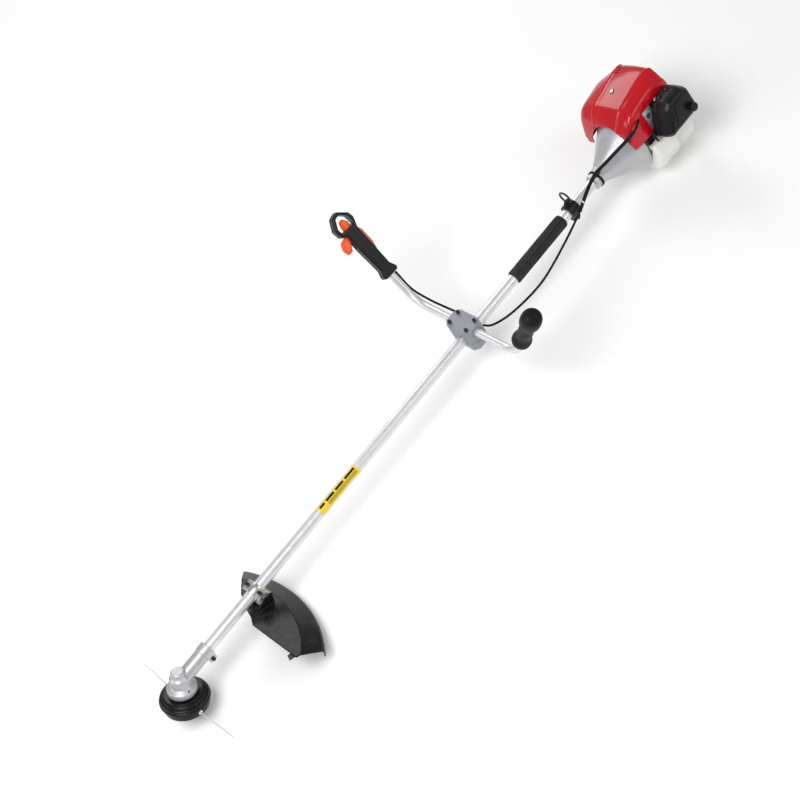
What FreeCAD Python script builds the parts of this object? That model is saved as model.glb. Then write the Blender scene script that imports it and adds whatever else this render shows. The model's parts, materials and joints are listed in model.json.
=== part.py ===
"""Straight-shaft brush cutter with a two-line trimmer head, bullhorn handlebar and small four-stroke engine.

Machine frame: +X runs along the main tube from the cutting head to the engine, +Y is the operator's right,
+Z is up. The origin is where the cutting spindle's axis crosses the tube's axis, inside the gear case.
"""

import FreeCAD, Part
import math
import os
import re
import Sketcher

V = FreeCAD.Vector
Rotation = FreeCAD.Rotation
Placement = FreeCAD.Placement

# name, value in millimetres or degrees, meaning
DIMENSIONS = [
    ("tube_od", 28, "outside diameter of the main tube"),
    ("tube_wall", 1.5, "wall of the main tube"),
    ("tube_front", 52, "front end of the tube, inside the gear case socket"),
    ("tube_back", 1598, "rear end of the tube, inside the clutch housing"),
    ("fit_gap", 0.05, "radial gap of every seated round joint"),
    ("spindle_angle", 68, "angle between the tube and the upward spindle"),
    ("drive_dia", 8, "drive shaft inside the tube"),
    # gear case and its gears
    ("flange_dia", 71, "round flange at the foot of the gear case"),
    ("flange_top", -14, "top of that flange, along the spindle"),
    ("lock_hole_dia", 5, "hole for the bar that stops the spindle"),
    ("lock_hole_reach", 30.5, "spindle axis to the locking hole"),
    ("case_foot", -29, "underside of the gear case, along the spindle"),
    ("case_dia", 47, "gear case round the bevel gear"),
    ("case_bore", 35, "gear chamber, and the seat of the lower bearing"),
    ("dome_dia", 33, "dome over the upper bearing"),
    ("dome_top", 34, "top of the dome, along the spindle"),
    ("socket_dia", 37, "socket that takes the tube"),
    ("socket_end", 100, "rear end of the socket"),
    ("lug_drop", 34, "depth of the clamp lug below the tube's axis"),
    ("lug_width", 20, "width of the clamp lug"),
    ("clamp_slit", 2, "slit of the split clamps"),
    ("pinion_teeth", 14, "teeth of the driving bevel pinion"),
    ("gear_teeth", 19, "teeth of the driven bevel gear"),
    ("cone_distance", 18, "apex to the large end of both bevel gears"),
    ("tooth_length", 6.5, "face width of both bevel gears"),
    ("spindle_dia", 15, "spindle in the lower bearing"),
    ("spindle_nose", 8, "spindle in the upper bearing"),
    ("thread_dia", 10, "spindle thread that holds the head"),
    # trimmer head, heights along the spindle
    ("head_top", -33, "top of the trimmer head"),
    ("head_rim", -54, "underside of the widest rim"),
    ("head_dia", 122, "widest rim of the trimmer head"),
    ("head_bottom", -78, "underside of the head's base"),
    ("base_dia", 112, "lower part of the trimmer head"),
    ("spool_dia", 84, "line spool"),
    ("knob_dia", 46, "bump knob"),
    ("knob_bottom", -92, "lowest point of the bump knob"),
    ("line_dia", 3, "nylon cutting line"),
    ("line_reach", 172, "spindle axis to the line's tip"),
    ("line_height", -63, "height of the line as it leaves the head"),
    # guard, about the spindle
    ("guard_outer", 340, "outer edge of the guard, from the spindle"),
    ("guard_crease", 291, "crease between the guard's plate and its apron"),
    ("guard_front", 194, "front edge of the guard, from the spindle"),
    ("guard_height", 60, "top plate of the guard, along the spindle"),
    ("guard_apron", 24, "drop of the apron from crease to outer edge"),
    ("guard_skirt", 22, "depth of the skirt under the outer edge"),
    ("guard_sheet", 3.2, "thickness of the guard's plastic"),
    ("guard_clamp_x", 268, "guard clamp on the tube"),
    ("guard_screw_reach", 24, "tube axis to each screw of the guard clamp"),
    ("guard_ear_top", 5.5, "top of the guard clamp's upper ears above the tube axis"),
    # handle clamp and handlebar
    ("clamp_x", 1070, "handlebar clamp on the tube"),
    ("bar_dia", 20, "handlebar tube"),
    ("bar_wall", 1.8, "wall of the handlebar"),
    ("bar_rise", 27, "handlebar axis above the tube axis"),
    ("bar_half", 171.5, "clamp centre to the bend's corner"),
    ("bar_arm", 238, "bend's corner to the end of the arm"),
    ("bar_bend", 55.9, "angle through which each arm is bent up"),
    ("bar_sweep", 3.2, "backward lean of the handlebar"),
    ("bend_radius", 70, "radius of the handlebar's bends"),
    ("clamp_length", 84, "clamp across the tube"),
    ("clamp_width", 54, "clamp along the tube"),
    ("clamp_top", 45, "top of the clamp cap above the tube axis"),
    ("clamp_bottom", -23, "underside of the clamp base"),
    ("clamp_split", 1, "gap between the clamp's pieces"),
    ("bolt_pitch_x", 31.7, "clamp bolts along the tube"),
    ("bolt_pitch_y", 56.8, "clamp bolts across the tube"),
    ("bolt_dia", 6, "clamp, guard and gear case screws"),
    # grips, measured along each arm from its bend's corner
    ("left_grip_start", 88, "inner end of the left grip"),
    ("left_grip_end", 272, "outer end of the left grip"),
    ("right_grip_start", 93, "inner end of the throttle grip"),
    ("right_grip_end", 243, "shoulder of the throttle grip"),
    ("right_loop_end", 299, "outer end of the throttle grip's loop"),
    ("grip_width", 36, "throttle grip, front to back"),
    ("grip_depth", 31, "throttle grip, across its parting plane"),
    ("trigger_width", 9, "trigger across the grip"),
    ("lever_pin_dia", 4, "cross pins of the trigger, the lock lever and the switch"),
    # foam sleeve and harness hanger
    ("foam_front", 1245, "front end of the foam sleeve"),
    ("foam_back", 1440, "rear end of the foam sleeve"),
    ("foam_dia", 36, "foam sleeve"),
    ("hanger_x", 1476, "harness hanger on the tube"),
    ("hanger_width", 30, "harness hanger along the tube"),
    ("hanger_dia", 42, "harness hanger round the tube"),
    ("ring_dia", 34, "harness ring, centre of its wire"),
    ("ring_wire", 5, "wire of the harness ring"),
    # engine, measured back from the front of its clutch housing
    ("engine_front", 1562, "front of the clutch housing"),
    ("engine_roll", 15, "engine turned on the tube, operator's left side up"),
    ("neck_dia", 42, "neck of the clutch housing"),
    ("neck_length", 30, "length of that neck"),
    ("bell_mid", 98, "where the bell reaches the drum's rear"),
    ("bell_mid_dia", 124, "bell at that place"),
    ("bell_end", 140, "rear face of the clutch housing"),
    ("bell_end_dia", 158, "rear rim of the clutch housing"),
    ("bell_wall", 4, "wall of the clutch housing"),
    ("drum_dia", 78, "clutch drum"),
    ("drum_front", 74, "front face of the clutch drum"),
    ("drum_depth", 24, "depth of the clutch drum"),
    ("fan_dia", 132, "flywheel and its fan"),
    ("fan_front", 104, "front face of the flywheel"),
    ("shaft_dia", 12, "crankshaft journals"),
    ("case_front", 144, "front of the crankcase"),
    ("case_back", 226, "rear of the crankcase"),
    ("case_half_width", 44, "half the crankcase's width"),
    ("case_top", 38, "top of the crankcase"),
    ("case_base", -46, "underside of the crankcase"),
    ("case_wall", 5, "wall of the crankcase"),
    ("bore_dia", 39, "cylinder bore"),
    ("fin_size", 74, "side of a cooling fin"),
    ("fin_count", 7, "cooling fins"),
    ("head_height", 112, "top of the cylinder above the crank"),
    ("hood_front", 108, "front edge of the red cover"),
    ("hood_back", 280, "rear edge of the red cover"),
    ("hood_right", 108, "right side of the red cover"),
    ("hood_left", 89, "left side of the red cover"),
    ("hood_ridge", 50, "middle of the cover to its ridges"),
    ("hood_top", 133, "highest point of the red cover"),
    ("hood_base", 20, "lower edge of the red cover"),
    ("hood_wall", 3, "wall of the red cover"),
    ("hood_slope", 12.3, "rise of the cover's middle band in degrees"),
    ("cleaner_front", 164, "front of the air cleaner at its foot"),
    ("cleaner_back", 287, "rear of the air cleaner"),
    ("cleaner_top", 87, "top of the air cleaner"),
    ("cleaner_foot", -3, "underside of the air cleaner"),
    ("cleaner_lean", 36, "backward lean of the air cleaner's front edge"),
    ("cleaner_inner", 93, "engine side of the air cleaner case"),
    ("cleaner_joint", 110, "parting plane of the air cleaner"),
    ("cleaner_outer", 150, "outer face of the air cleaner"),
    ("bulb_reach", 66, "crank axis to the primer bulb, to the left"),
    ("bore_height", 62, "carburettor bore above the crank axis"),
    ("tank_front", 143, "front of the fuel tank"),
    ("tank_back", 276, "rear of the fuel tank"),
    ("tank_left", 94, "left side of the fuel tank"),
    ("tank_right", 62, "right side of the fuel tank"),
    ("tank_top", -50, "top of the fuel tank under the crankcase"),
    ("tank_shoulder", -8, "top of the tank's left shoulder"),
    ("tank_base", -93, "underside of the fuel tank"),
    ("tank_wall", 2.5, "wall of the fuel tank"),
    ("filler_side", 10, "fuel filler, left of the machine's middle"),
    ("filler_rise", 21.5, "fuel filler above the tank's foot"),
    ("recoil_dia", 94, "recoil starter cover"),
    ("recoil_front", 230, "front of the recoil starter"),
    ("recoil_back", 276, "rear of the recoil starter"),
]


# ---------------------------------------------------------------- document, sheet and small helpers

document = FreeCAD.newDocument("BrushCutter")
sizes = document.addObject("Spreadsheet::Sheet", "sizes")
for row, (alias, number, meaning) in enumerate(DIMENSIONS, start=1):
    sizes.set(f"A{row}", alias)
    sizes.set(f"B{row}", str(number))
    sizes.setAlias(f"B{row}", alias)
    sizes.set(f"C{row}", meaning)
document.recompute()

ALIASES = re.compile(r"\b(" + "|".join(name for name, _, _ in DIMENSIONS) + r")\b")
SUB_PARTS = []


def linked(formula):
    """The formula as an expression of the sheet's cells."""
    return ALIASES.sub(r"sizes.\1", str(formula))


def size(formula):
    """The number a formula has now."""
    result = sizes.evalExpression(linked(formula))
    return float(getattr(result, "Value", result))


def bind(item, field, formula):
    item.setExpression(field, linked(formula))


def sub_part(item, label):
    """Marks an object as one of the pieces that are written out."""
    item.Label = label
    SUB_PARTS.append(item)
    return item


def place(item, x=0, y=0, z=0, turn=None):
    """Puts an item at a place given by formulas, turned by a rotation."""
    item.Placement = Placement(V(size(x), size(y), size(z)), turn or Rotation())
    for field, formula in (("x", x), ("y", y), ("z", z)):
        bind(item, "Placement.Base." + field, formula)
    return item


ALONG_X = Rotation(V(0, 1, 0), 90)
SPINDLE = Rotation(V(0, 1, 0), 90 - size("spindle_angle"))
ROLL = Rotation(V(1, 0, 0), -size("engine_roll"))


def on_spindle(item):
    """An item drawn about +Z turns into the spindle's frame."""
    return place(item, turn=SPINDLE)


def on_engine(item, x=0, y=0, z=0, turn=None):
    """Puts an item at a place in the rolled engine's frame, x measured from the clutch housing's front."""
    spot = ROLL.multVec(V(0, size(y), size(z)))
    item.Placement = Placement(V(size(f"engine_front + ({x})"), spot.y, spot.z), ROLL.multiply(turn or Rotation()))
    bind(item, "Placement.Base.x", f"engine_front + ({x})")
    bind(item, "Placement.Base.y", f"({y}) * cos(engine_roll) + ({z}) * sin(engine_roll)")
    bind(item, "Placement.Base.z", f"({z}) * cos(engine_roll) - ({y}) * sin(engine_roll)")
    return item


# ---------------------------------------------------------------- sketches and features

def new_body(name):
    return document.addObject("PartDesign::Body", name)


def origin_item(body, role):
    return next(item for item in body.Origin.OriginFeatures if item.Role == role)


def new_sketch(body, name, plane="XY_Plane", offset=0):
    """A sketch on one of the body's own origin planes, moved off it by a formula."""
    item = body.newObject("Sketcher::SketchObject", name)
    item.AttachmentSupport = (origin_item(body, plane), [""])
    item.MapMode = "FlatFace"
    bind(item, "AttachmentOffset.Base.z", offset)
    return item


def pin_point(sketch, geometry, end, x, y):
    """Ties one point of the sketch to two formulas."""
    for kind, formula, axis in (("DistanceX", x, -2), ("DistanceY", y, -1)):
        number = size(formula)
        if abs(number) < 1e-9:
            sketch.addConstraint(Sketcher.Constraint("PointOnObject", geometry, end, axis))
            continue
        index = sketch.addConstraint(Sketcher.Constraint(kind, -1, 1, geometry, end, number))
        bind(sketch, f"Constraints[{index}]", formula)


def outline(sketch, corners):
    """A closed outline of straight sides; each corner is a pair of formulas."""
    points = [V(size(x), size(y), 0) for x, y in corners]
    first = sketch.GeometryCount
    count = len(points)
    for i in range(count):
        sketch.addGeometry(Part.LineSegment(points[i], points[(i + 1) % count]), False)
    for i in range(count):
        sketch.addConstraint(Sketcher.Constraint("Coincident", first + i, 2, first + (i + 1) % count, 1))
    for i, (x, y) in enumerate(corners):
        pin_point(sketch, first + i, 1, x, y)


def circle(sketch, diameter, x=0, y=0):
    centre = V(size(x), size(y), 0)
    index = sketch.addGeometry(Part.Circle(centre, V(0, 0, 1), size(diameter) / 2), False)
    rule = sketch.addConstraint(Sketcher.Constraint("Diameter", index, size(diameter)))
    bind(sketch, f"Constraints[{rule}]", diameter)
    pin_point(sketch, index, 3, x, y)


def revolve(body, corners, name="Turned", kind="PartDesign::Revolution"):
    """Turns an outline of (radius, height) corners about the body's Z axis."""
    sketch = new_sketch(body, name + "Profile", "XZ_Plane")
    outline(sketch, corners)
    item = body.newObject(kind, name)
    item.Profile = sketch
    item.ReferenceAxis = (sketch, ["V_Axis"])
    item.Angle = 360
    return item


def extrude(body, sketch, length, kind="PartDesign::Pad", reverse=False, both=False):
    """Pads or pockets a sketch; both sides when asked."""
    item = body.newObject(kind, sketch.Name + "Extruded")
    item.Profile = sketch
    bind(item, "Length", length)
    item.Reversed = reverse
    item.Midplane = both
    return item


def turned(label, corners):
    body = new_body(label)
    revolve(body, corners)
    return sub_part(body, label)


def ring_part(label, outer, inner, length):
    """A plain tube along +Z from the body's origin."""
    body = new_body(label)
    sketch = new_sketch(body, "Section")
    circle(sketch, outer)
    circle(sketch, inner)
    extrude(body, sketch, length)
    return sub_part(body, label)


def cut_volume(body, feature):
    """Confirms that a cut really removed material."""
    document.recompute()
    before = feature.BaseFeature.Shape.Volume
    if before - feature.Shape.Volume < 1e-3:
        raise RuntimeError(f"{body.Label}: {feature.Name} removes nothing")


def round_edges(body, radius, chosen, name="Rounded"):
    """Fillets the edges of the body's tip that the test accepts."""
    document.recompute()
    base = body.Tip
    edges = [f"Edge{i}" for i, edge in enumerate(base.Shape.Edges, start=1) if chosen(edge)]
    item = body.newObject("PartDesign::Fillet", name)
    item.Base = (base, edges)
    bind(item, "Radius", radius)
    return item


def runs_along(axis):
    """A test for straight edges parallel to an axis."""
    def test(edge):
        if not isinstance(edge.Curve, Part.Line):
            return False
        return abs(abs(edge.Curve.Direction.dot(axis)) - 1) < 1e-6
    return test


def boolean(kind, label, base, tool):
    item = document.addObject(kind, label)
    item.Base = base
    item.Tool = tool
    return item


def computed(label, shape, placement=None):
    """A piece whose shape Part's own functions make."""
    item = document.addObject("Part::Feature", label)
    item.Shape = shape
    if placement:
        item.Placement = placement
    return item


def copies(label, spots):
    """A group of separate solids: each spot is a master piece and where its copy goes."""
    document.recompute()
    shapes = []
    for master, spot in spots:
        shape = master.Shape.copy()
        shape.Placement = spot.multiply(master.Shape.Placement)
        shapes.append(shape)
    return sub_part(computed(label, Part.makeCompound(shapes)), label)


def cap_screw(name, length):
    """A socket screw along -Z whose head stands on z = 0."""
    body = new_body(name)
    revolve(body, [("0", f"-({length})"), ("bolt_dia / 2 - 0.2", f"-({length})"), ("bolt_dia / 2 - 0.2", "0"),
                   ("bolt_dia * 0.8", "0"), ("bolt_dia * 0.8", "bolt_dia"), ("0", "bolt_dia")])
    socket = new_sketch(body, "Socket", "XY_Plane", "bolt_dia * 0.5")
    points = [(f"bolt_dia * 0.46 * cos({60 * i} deg)", f"bolt_dia * 0.46 * sin({60 * i} deg)") for i in range(6)]
    outline(socket, points)
    cut_volume(body, extrude(body, socket, "bolt_dia", "PartDesign::Pocket", reverse=True))
    return body


# ---------------------------------------------------------------- gear head

def gearcase():
    """Cast case: round flange, gear chamber, dome and the socket that takes the tube."""
    shell = new_body("case_shell")
    revolve(shell, [("0", "case_foot"), ("flange_dia / 2", "case_foot"), ("flange_dia / 2", "flange_top"),
                    ("case_dia / 2 + 3", "flange_top + 5"), ("case_dia / 2", "flange_top + 9"),
                    ("case_dia / 2", "dome_top - 20"), ("dome_dia / 2", "dome_top - 13"),
                    ("dome_dia / 2", "dome_top - 2"), ("dome_dia / 2 - 3", "dome_top"), ("0", "dome_top")])
    round_edges(shell, 1.5, lambda edge: isinstance(edge.Curve, Part.Circle)
                and abs(edge.Curve.Center.z - size("flange_top")) < 0.1)
    on_spindle(shell)
    socket = new_body("case_socket")
    revolve(socket, [("0", "4"), ("case_dia / 2 - 4", "4"), ("socket_dia / 2", "26"),
                     ("socket_dia / 2", "socket_end - 24"), ("socket_dia / 2 + 2", "socket_end - 22"),
                     ("socket_dia / 2 + 2", "socket_end"), ("0", "socket_end")])
    place(socket, turn=ALONG_X)
    lug = document.addObject("Part::Box", "case_lug")
    for field, formula in (("Length", "20"), ("Width", "lug_width"), ("Height", "lug_drop - 8")):
        bind(lug, field, formula)
    place(lug, "socket_end - 22", "-lug_width / 2", "-lug_drop")
    outer = document.addObject("Part::MultiFuse", "case_outer")
    outer.Shapes = [shell, socket, lug]

    chamber = new_body("case_chamber")
    revolve(chamber, [("0", "case_foot - 1"), ("case_bore / 2 + fit_gap", "case_foot - 1"),
                      ("case_bore / 2 + fit_gap", "flange_top + 21"), ("11 + fit_gap", "flange_top + 23"),
                      ("11 + fit_gap", "dome_top - 7"), ("0", "dome_top - 7")])
    on_spindle(chamber)
    bore = document.addObject("Part::Cylinder", "case_bore_hole")
    bind(bore, "Radius", "tube_od / 2 + fit_gap")
    bind(bore, "Height", "socket_end")
    place(bore, "6", turn=ALONG_X)
    slit = document.addObject("Part::Box", "case_slit")
    for field, formula in (("Length", "30"), ("Width", "clamp_slit"), ("Height", "lug_drop")):
        bind(slit, field, formula)
    place(slit, "socket_end - 24", "-clamp_slit / 2", "-lug_drop - 1")
    hole = document.addObject("Part::Cylinder", "case_screw_hole")
    bind(hole, "Radius", "bolt_dia / 2 + fit_gap")
    bind(hole, "Height", "lug_width + 20")
    place(hole, "socket_end - 12", "lug_width / 2 + 10", "-lug_drop + 8", Rotation(V(1, 0, 0), 90))
    lock = document.addObject("Part::Cylinder", "case_lock_hole")
    bind(lock, "Radius", "lock_hole_dia / 2")
    bind(lock, "Height", "flange_top - case_foot + 8")
    lock.Placement = Placement(V(), SPINDLE).multiply(
        Placement(V(0, -size("lock_hole_reach"), size("case_foot - 1")), Rotation()))
    inner = document.addObject("Part::MultiFuse", "case_inner")
    inner.Shapes = [chamber, bore, slit, hole, lock]
    return sub_part(boolean("Part::Cut", "gearcase_casting", outer, inner), "gearcase")


def bearing_shape(outer, inner, width):
    """A ball bearing's two races and filler as one ring, with grooved sides."""
    ring = Part.makeCylinder(outer / 2, width).cut(Part.makeCylinder(inner / 2, width))
    groove_outer = outer / 2 - (outer - inner) / 8
    groove_inner = inner / 2 + (outer - inner) / 8
    groove = Part.makeCylinder(groove_outer, 0.8).cut(Part.makeCylinder(groove_inner, 0.8))
    other = groove.translated(V(0, 0, width - 0.8))
    return ring.cut(groove).cut(other)


def bearings():
    """Two pinion bearings, the spindle's two bearings and the clutch drum's bearing."""
    gap = size("fit_gap")
    pinion = bearing_shape(size("tube_od"), 12 + gap, 8)
    lower = bearing_shape(size("case_bore"), size("spindle_dia") + gap, 10)
    upper = bearing_shape(22, size("spindle_nose") + gap, 7)
    drum = bearing_shape(35, 15 + gap, 11)
    shapes = []
    for start in (22, 32):
        shapes.append(pinion.transformed(Placement(V(start, 0, 0), ALONG_X).toMatrix()))
    lower.translate(V(0, 0, size("case_foot + 1")))
    upper.translate(V(0, 0, size("dome_top - 14.5")))
    for shape in (lower, upper):
        shapes.append(shape.transformed(Placement(V(), SPINDLE).toMatrix()))
    drum_x = size("engine_front + drum_front") - 21
    shapes.append(drum.transformed(Placement(V(drum_x, 0, 0), ALONG_X).toMatrix()))
    sub_part(computed("bearing_set", Part.makeCompound(shapes)), "ball_bearings")


def cone_angles():
    """Pitch angles of the pinion and the gear, whose shafts meet at the spindle's obtuse angle."""
    between = math.radians(180 - size("spindle_angle"))
    ratio = size("gear_teeth") / size("pinion_teeth")
    pinion = math.atan2(math.sin(between), ratio + math.cos(between))
    return pinion, between - pinion


def polar(distance, angle):
    """A point of a cone's half section: radius, height."""
    return distance * math.sin(angle), distance * math.cos(angle)


def bevel_shape(teeth, pitch_angle, bore, hub_radius, hub_back, gap_at_zero):
    """Straight bevel gear about +Z with its apex at the origin and its back towards +Z."""
    outer = size("cone_distance")
    inner = outer - size("tooth_length")
    module = 2 * outer * math.sin(pitch_angle) / teeth
    addendum, dedendum = 0.75 * module, 1.0 * module
    tip = pitch_angle + math.atan(addendum / outer)
    root = pitch_angle - math.atan(dedendum / outer)
    tip_inner, tip_outer = polar(inner, tip), polar(outer, tip)
    hub_start = tip_outer[1] + 1.5
    rim = [tip_inner, tip_outer, (tip_outer[0], hub_start), (hub_radius, hub_start), (hub_radius, hub_back),
           (bore, hub_back), (bore, tip_inner[1])]
    points = [V(radius, 0, height) for radius, height in rim]
    wire = Part.makePolygon(points + [points[0]])
    blank = Part.Face(wire).revolve(V(), V(0, 0, 1), 360)

    def corner(angle, half_width):
        radius, height = polar(1.35 * outer, angle)
        return [V(radius, side * half_width * radius, height) for side in (-1, 1)]

    pitch_radius = outer * math.sin(pitch_angle)
    half_gap = math.pi * module / 4 * 1.22
    slope = math.tan(math.radians(20))
    below = corner(root, (half_gap - dedendum * slope) / pitch_radius)
    above_angle = tip + math.radians(6)
    rise = outer * math.tan(above_angle - pitch_angle)
    above = corner(above_angle, (half_gap + rise * slope) / pitch_radius)
    base = [below[0], below[1], above[1], above[0]]
    apex = V()
    faces = [Part.Face(Part.makePolygon(base + [base[0]]))]
    for i in range(4):
        faces.append(Part.Face(Part.makePolygon([apex, base[i], base[(i + 1) % 4], apex])))
    gap = Part.Solid(Part.Shell(faces))
    start = 0 if gap_at_zero else 180 / teeth
    for i in range(int(teeth)):
        notch = gap.copy()
        notch.rotate(V(), V(0, 0, 1), start + 360 * i / teeth)
        blank = blank.cut(notch)
    return blank


def bevel_gears():
    """The pinion on the drive shaft and the gear on the spindle, in mesh below the tube's axis."""
    pinion_angle, gear_angle = cone_angles()
    pinion = bevel_shape(size("pinion_teeth"), pinion_angle, size("drive_dia / 2"), 6, 50, gap_at_zero=False)
    nose = Part.makeCylinder(size("drive_dia / 2"), 34)
    pinion = pinion.fuse(nose.common(Part.makeCylinder(20, 34, V(0, 0, 9)))).removeSplitter()
    item = computed("pinion_solid", pinion, Placement(V(), ALONG_X))
    sub_part(item, "bevel_pinion")
    gear = bevel_shape(size("gear_teeth"), gear_angle, size("spindle_dia / 2"), 11, -size("case_foot") - 12,
                       gap_at_zero=True)
    flipped = SPINDLE.multiply(Rotation(V(1, 0, 0), 180))
    sub_part(computed("gear_solid", gear, Placement(V(), flipped)), "bevel_gear")


def output_shaft():
    """Spindle from the upper bearing to the thread that holds the trimmer head."""
    on_spindle(turned("output_shaft", [
        ("0", "head_bottom + 16"), ("thread_dia / 2", "head_bottom + 16"), ("thread_dia / 2", "head_top - 4"),
        ("spindle_dia / 2 + 16", "head_top - 4"), ("spindle_dia / 2 + 16", "head_top"),
        ("spindle_dia / 2 + 2", "head_top + 2"), ("spindle_dia / 2 + 2", "case_foot + 0.8"),
        ("spindle_dia / 2", "case_foot + 0.8"), ("spindle_dia / 2", "-5"), ("spindle_nose / 2", "-4"),
        ("spindle_nose / 2", "dome_top - 8"), ("0", "dome_top - 8")]))


def head_housing():
    """Upper half of the trimmer head: stepped dome, wide rim and open underside."""
    on_spindle(turned("head_housing", [
        ("thread_dia / 2 + fit_gap", "head_top - 4 - fit_gap"), ("24", "head_top - 4 - fit_gap"), ("24", "head_top"),
        ("46", "head_top"), ("52", "head_top - 3"), ("52", "head_top - 7"), ("56", "head_top - 8"),
        ("58", "head_top - 10"), ("58", "head_top - 14"),
        ("head_dia / 2 - 1", "head_rim + 6"), ("head_dia / 2", "head_rim + 2.5"), ("head_dia / 2", "head_rim"),
        ("base_dia / 2 - 3", "head_rim"), ("base_dia / 2 - 6", "head_rim + 5"), ("18", "head_rim + 5"),
        ("18", "head_rim + 1"), ("thread_dia / 2 + fit_gap", "head_rim + 1")]))


def head_base():
    """Lower half of the head: cup that holds the spool, with a hole for the bump knob."""
    body = new_body("head_base")
    revolve(body, [("knob_dia / 2 + 0.6", "head_bottom"), ("base_dia / 2 - 6", "head_bottom"),
                   ("base_dia / 2 - 1", "head_bottom + 4"), ("base_dia / 2", "head_bottom + 8"),
                   ("base_dia / 2", "head_rim - 0.2"), ("base_dia / 2 - 3", "head_rim - 0.2"),
                   ("base_dia / 2 - 3", "head_bottom + 3"), ("knob_dia / 2 + 0.6", "head_bottom + 3")])
    ports = new_sketch(body, "LinePorts", "XZ_Plane")
    circle(ports, "line_dia + 5", 0, "line_height")
    cut_volume(body, extrude(body, ports, "base_dia + 4", "PartDesign::Pocket", both=True))
    on_spindle(sub_part(body, "head_base"))


def spool():
    """Two-flanged spool for the cutting line."""
    on_spindle(turned("spool", [
        ("knob_dia / 2 - 6", "head_bottom + 4"), ("spool_dia / 2", "head_bottom + 4"),
        ("spool_dia / 2", "head_bottom + 6"), ("29", "head_bottom + 6"), ("29", "head_rim - 3"),
        ("spool_dia / 2", "head_rim - 3"), ("spool_dia / 2", "head_rim - 1"), ("19", "head_rim - 1"),
        ("19", "head_bottom + 9"), ("knob_dia / 2 - 6", "head_bottom + 9")]))


def spool_spring():
    """Coil spring between the head's hub and the bump knob, drawn as half turns that lean up alternately."""
    wire_radius, coil_radius, turns = 0.9, 13, 4
    low, high = size("head_bottom + 4"), size("head_rim + 0.9")
    rise = (high - low - 2 * wire_radius) / (2 * turns)
    coil = None
    for i in range(2 * turns):
        side = 1 if i % 2 == 0 else -1
        start = V(side * coil_radius, 0, low + wire_radius + i * rise)
        centre = V(0, 0, start.z + rise / 2)
        section = Part.Face(Part.Wire(Part.makeCircle(wire_radius, start, V(0, 1, 0))))
        half_turn = section.revolve(centre, V(side * rise / 2, 0, coil_radius), 180)
        coil = coil.fuse(half_turn) if coil else half_turn
    sub_part(computed("spring_coil", Part.makeCompound([coil]), Placement(V(), SPINDLE)), "spool_spring")


def bump_knob():
    """Knob that is tapped on the ground to let out line."""
    on_spindle(turned("bump_knob", [
        ("thread_dia / 2 + 1", "head_bottom + 3.9"), ("thread_dia / 2 + 1", "head_bottom + 0.5"),
        ("0", "head_bottom + 0.5"), ("0", "knob_bottom"), ("knob_dia / 2 - 9", "knob_bottom"),
        ("knob_dia / 2 - 3", "knob_bottom + 2.5"), ("knob_dia / 2", "knob_bottom + 7"),
        ("knob_dia / 2", "head_bottom + 3.9")]))


def line_eyelets():
    """Two metal eyelets in the head's wall, where the line comes out."""
    master = new_body("eyelet")
    revolve(master, [("line_dia / 2 + 0.7", "-2.8"), ("line_dia / 2 + 2.4", "-2.8"), ("line_dia / 2 + 2.4", "0.3"),
                     ("line_dia / 2 + 4", "0.3"), ("line_dia / 2 + 4", "1.6"), ("line_dia / 2 + 0.7", "1.6")])
    spots = []
    for side in (-1, 1):
        outward = Rotation(V(1, 0, 0), -90 * side)
        local = Placement(V(0, side * size("base_dia / 2"), size("line_height")), outward)
        spots.append((master, Placement(V(), SPINDLE).multiply(local)))
    copies("line_eyelets", spots)


def nylon_line():
    """The two free ends of the cutting line, each with a slight droop."""
    shapes = []
    height, reach, start = size("line_height"), size("line_reach"), size("spool_dia / 2 + 1")
    radius = size("line_dia / 2")
    for side in (-1, 1):
        path = Part.BSplineCurve()
        path.interpolate([V(0, side * start, height), V(0, side * (start + 30), height),
                          V(2, side * (start + reach) / 2, height - 1), V(4, side * reach, height - 4)])
        section = Part.Wire(Part.makeCircle(radius, V(0, side * start, height), V(0, 1, 0)))
        shapes.append(Part.Wire(path.toShape()).makePipeShell([section], True, True))
    sub_part(computed("line_ends", Part.makeCompound(shapes), Placement(V(), SPINDLE)), "nylon_line")


# ---------------------------------------------------------------- guard

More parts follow.
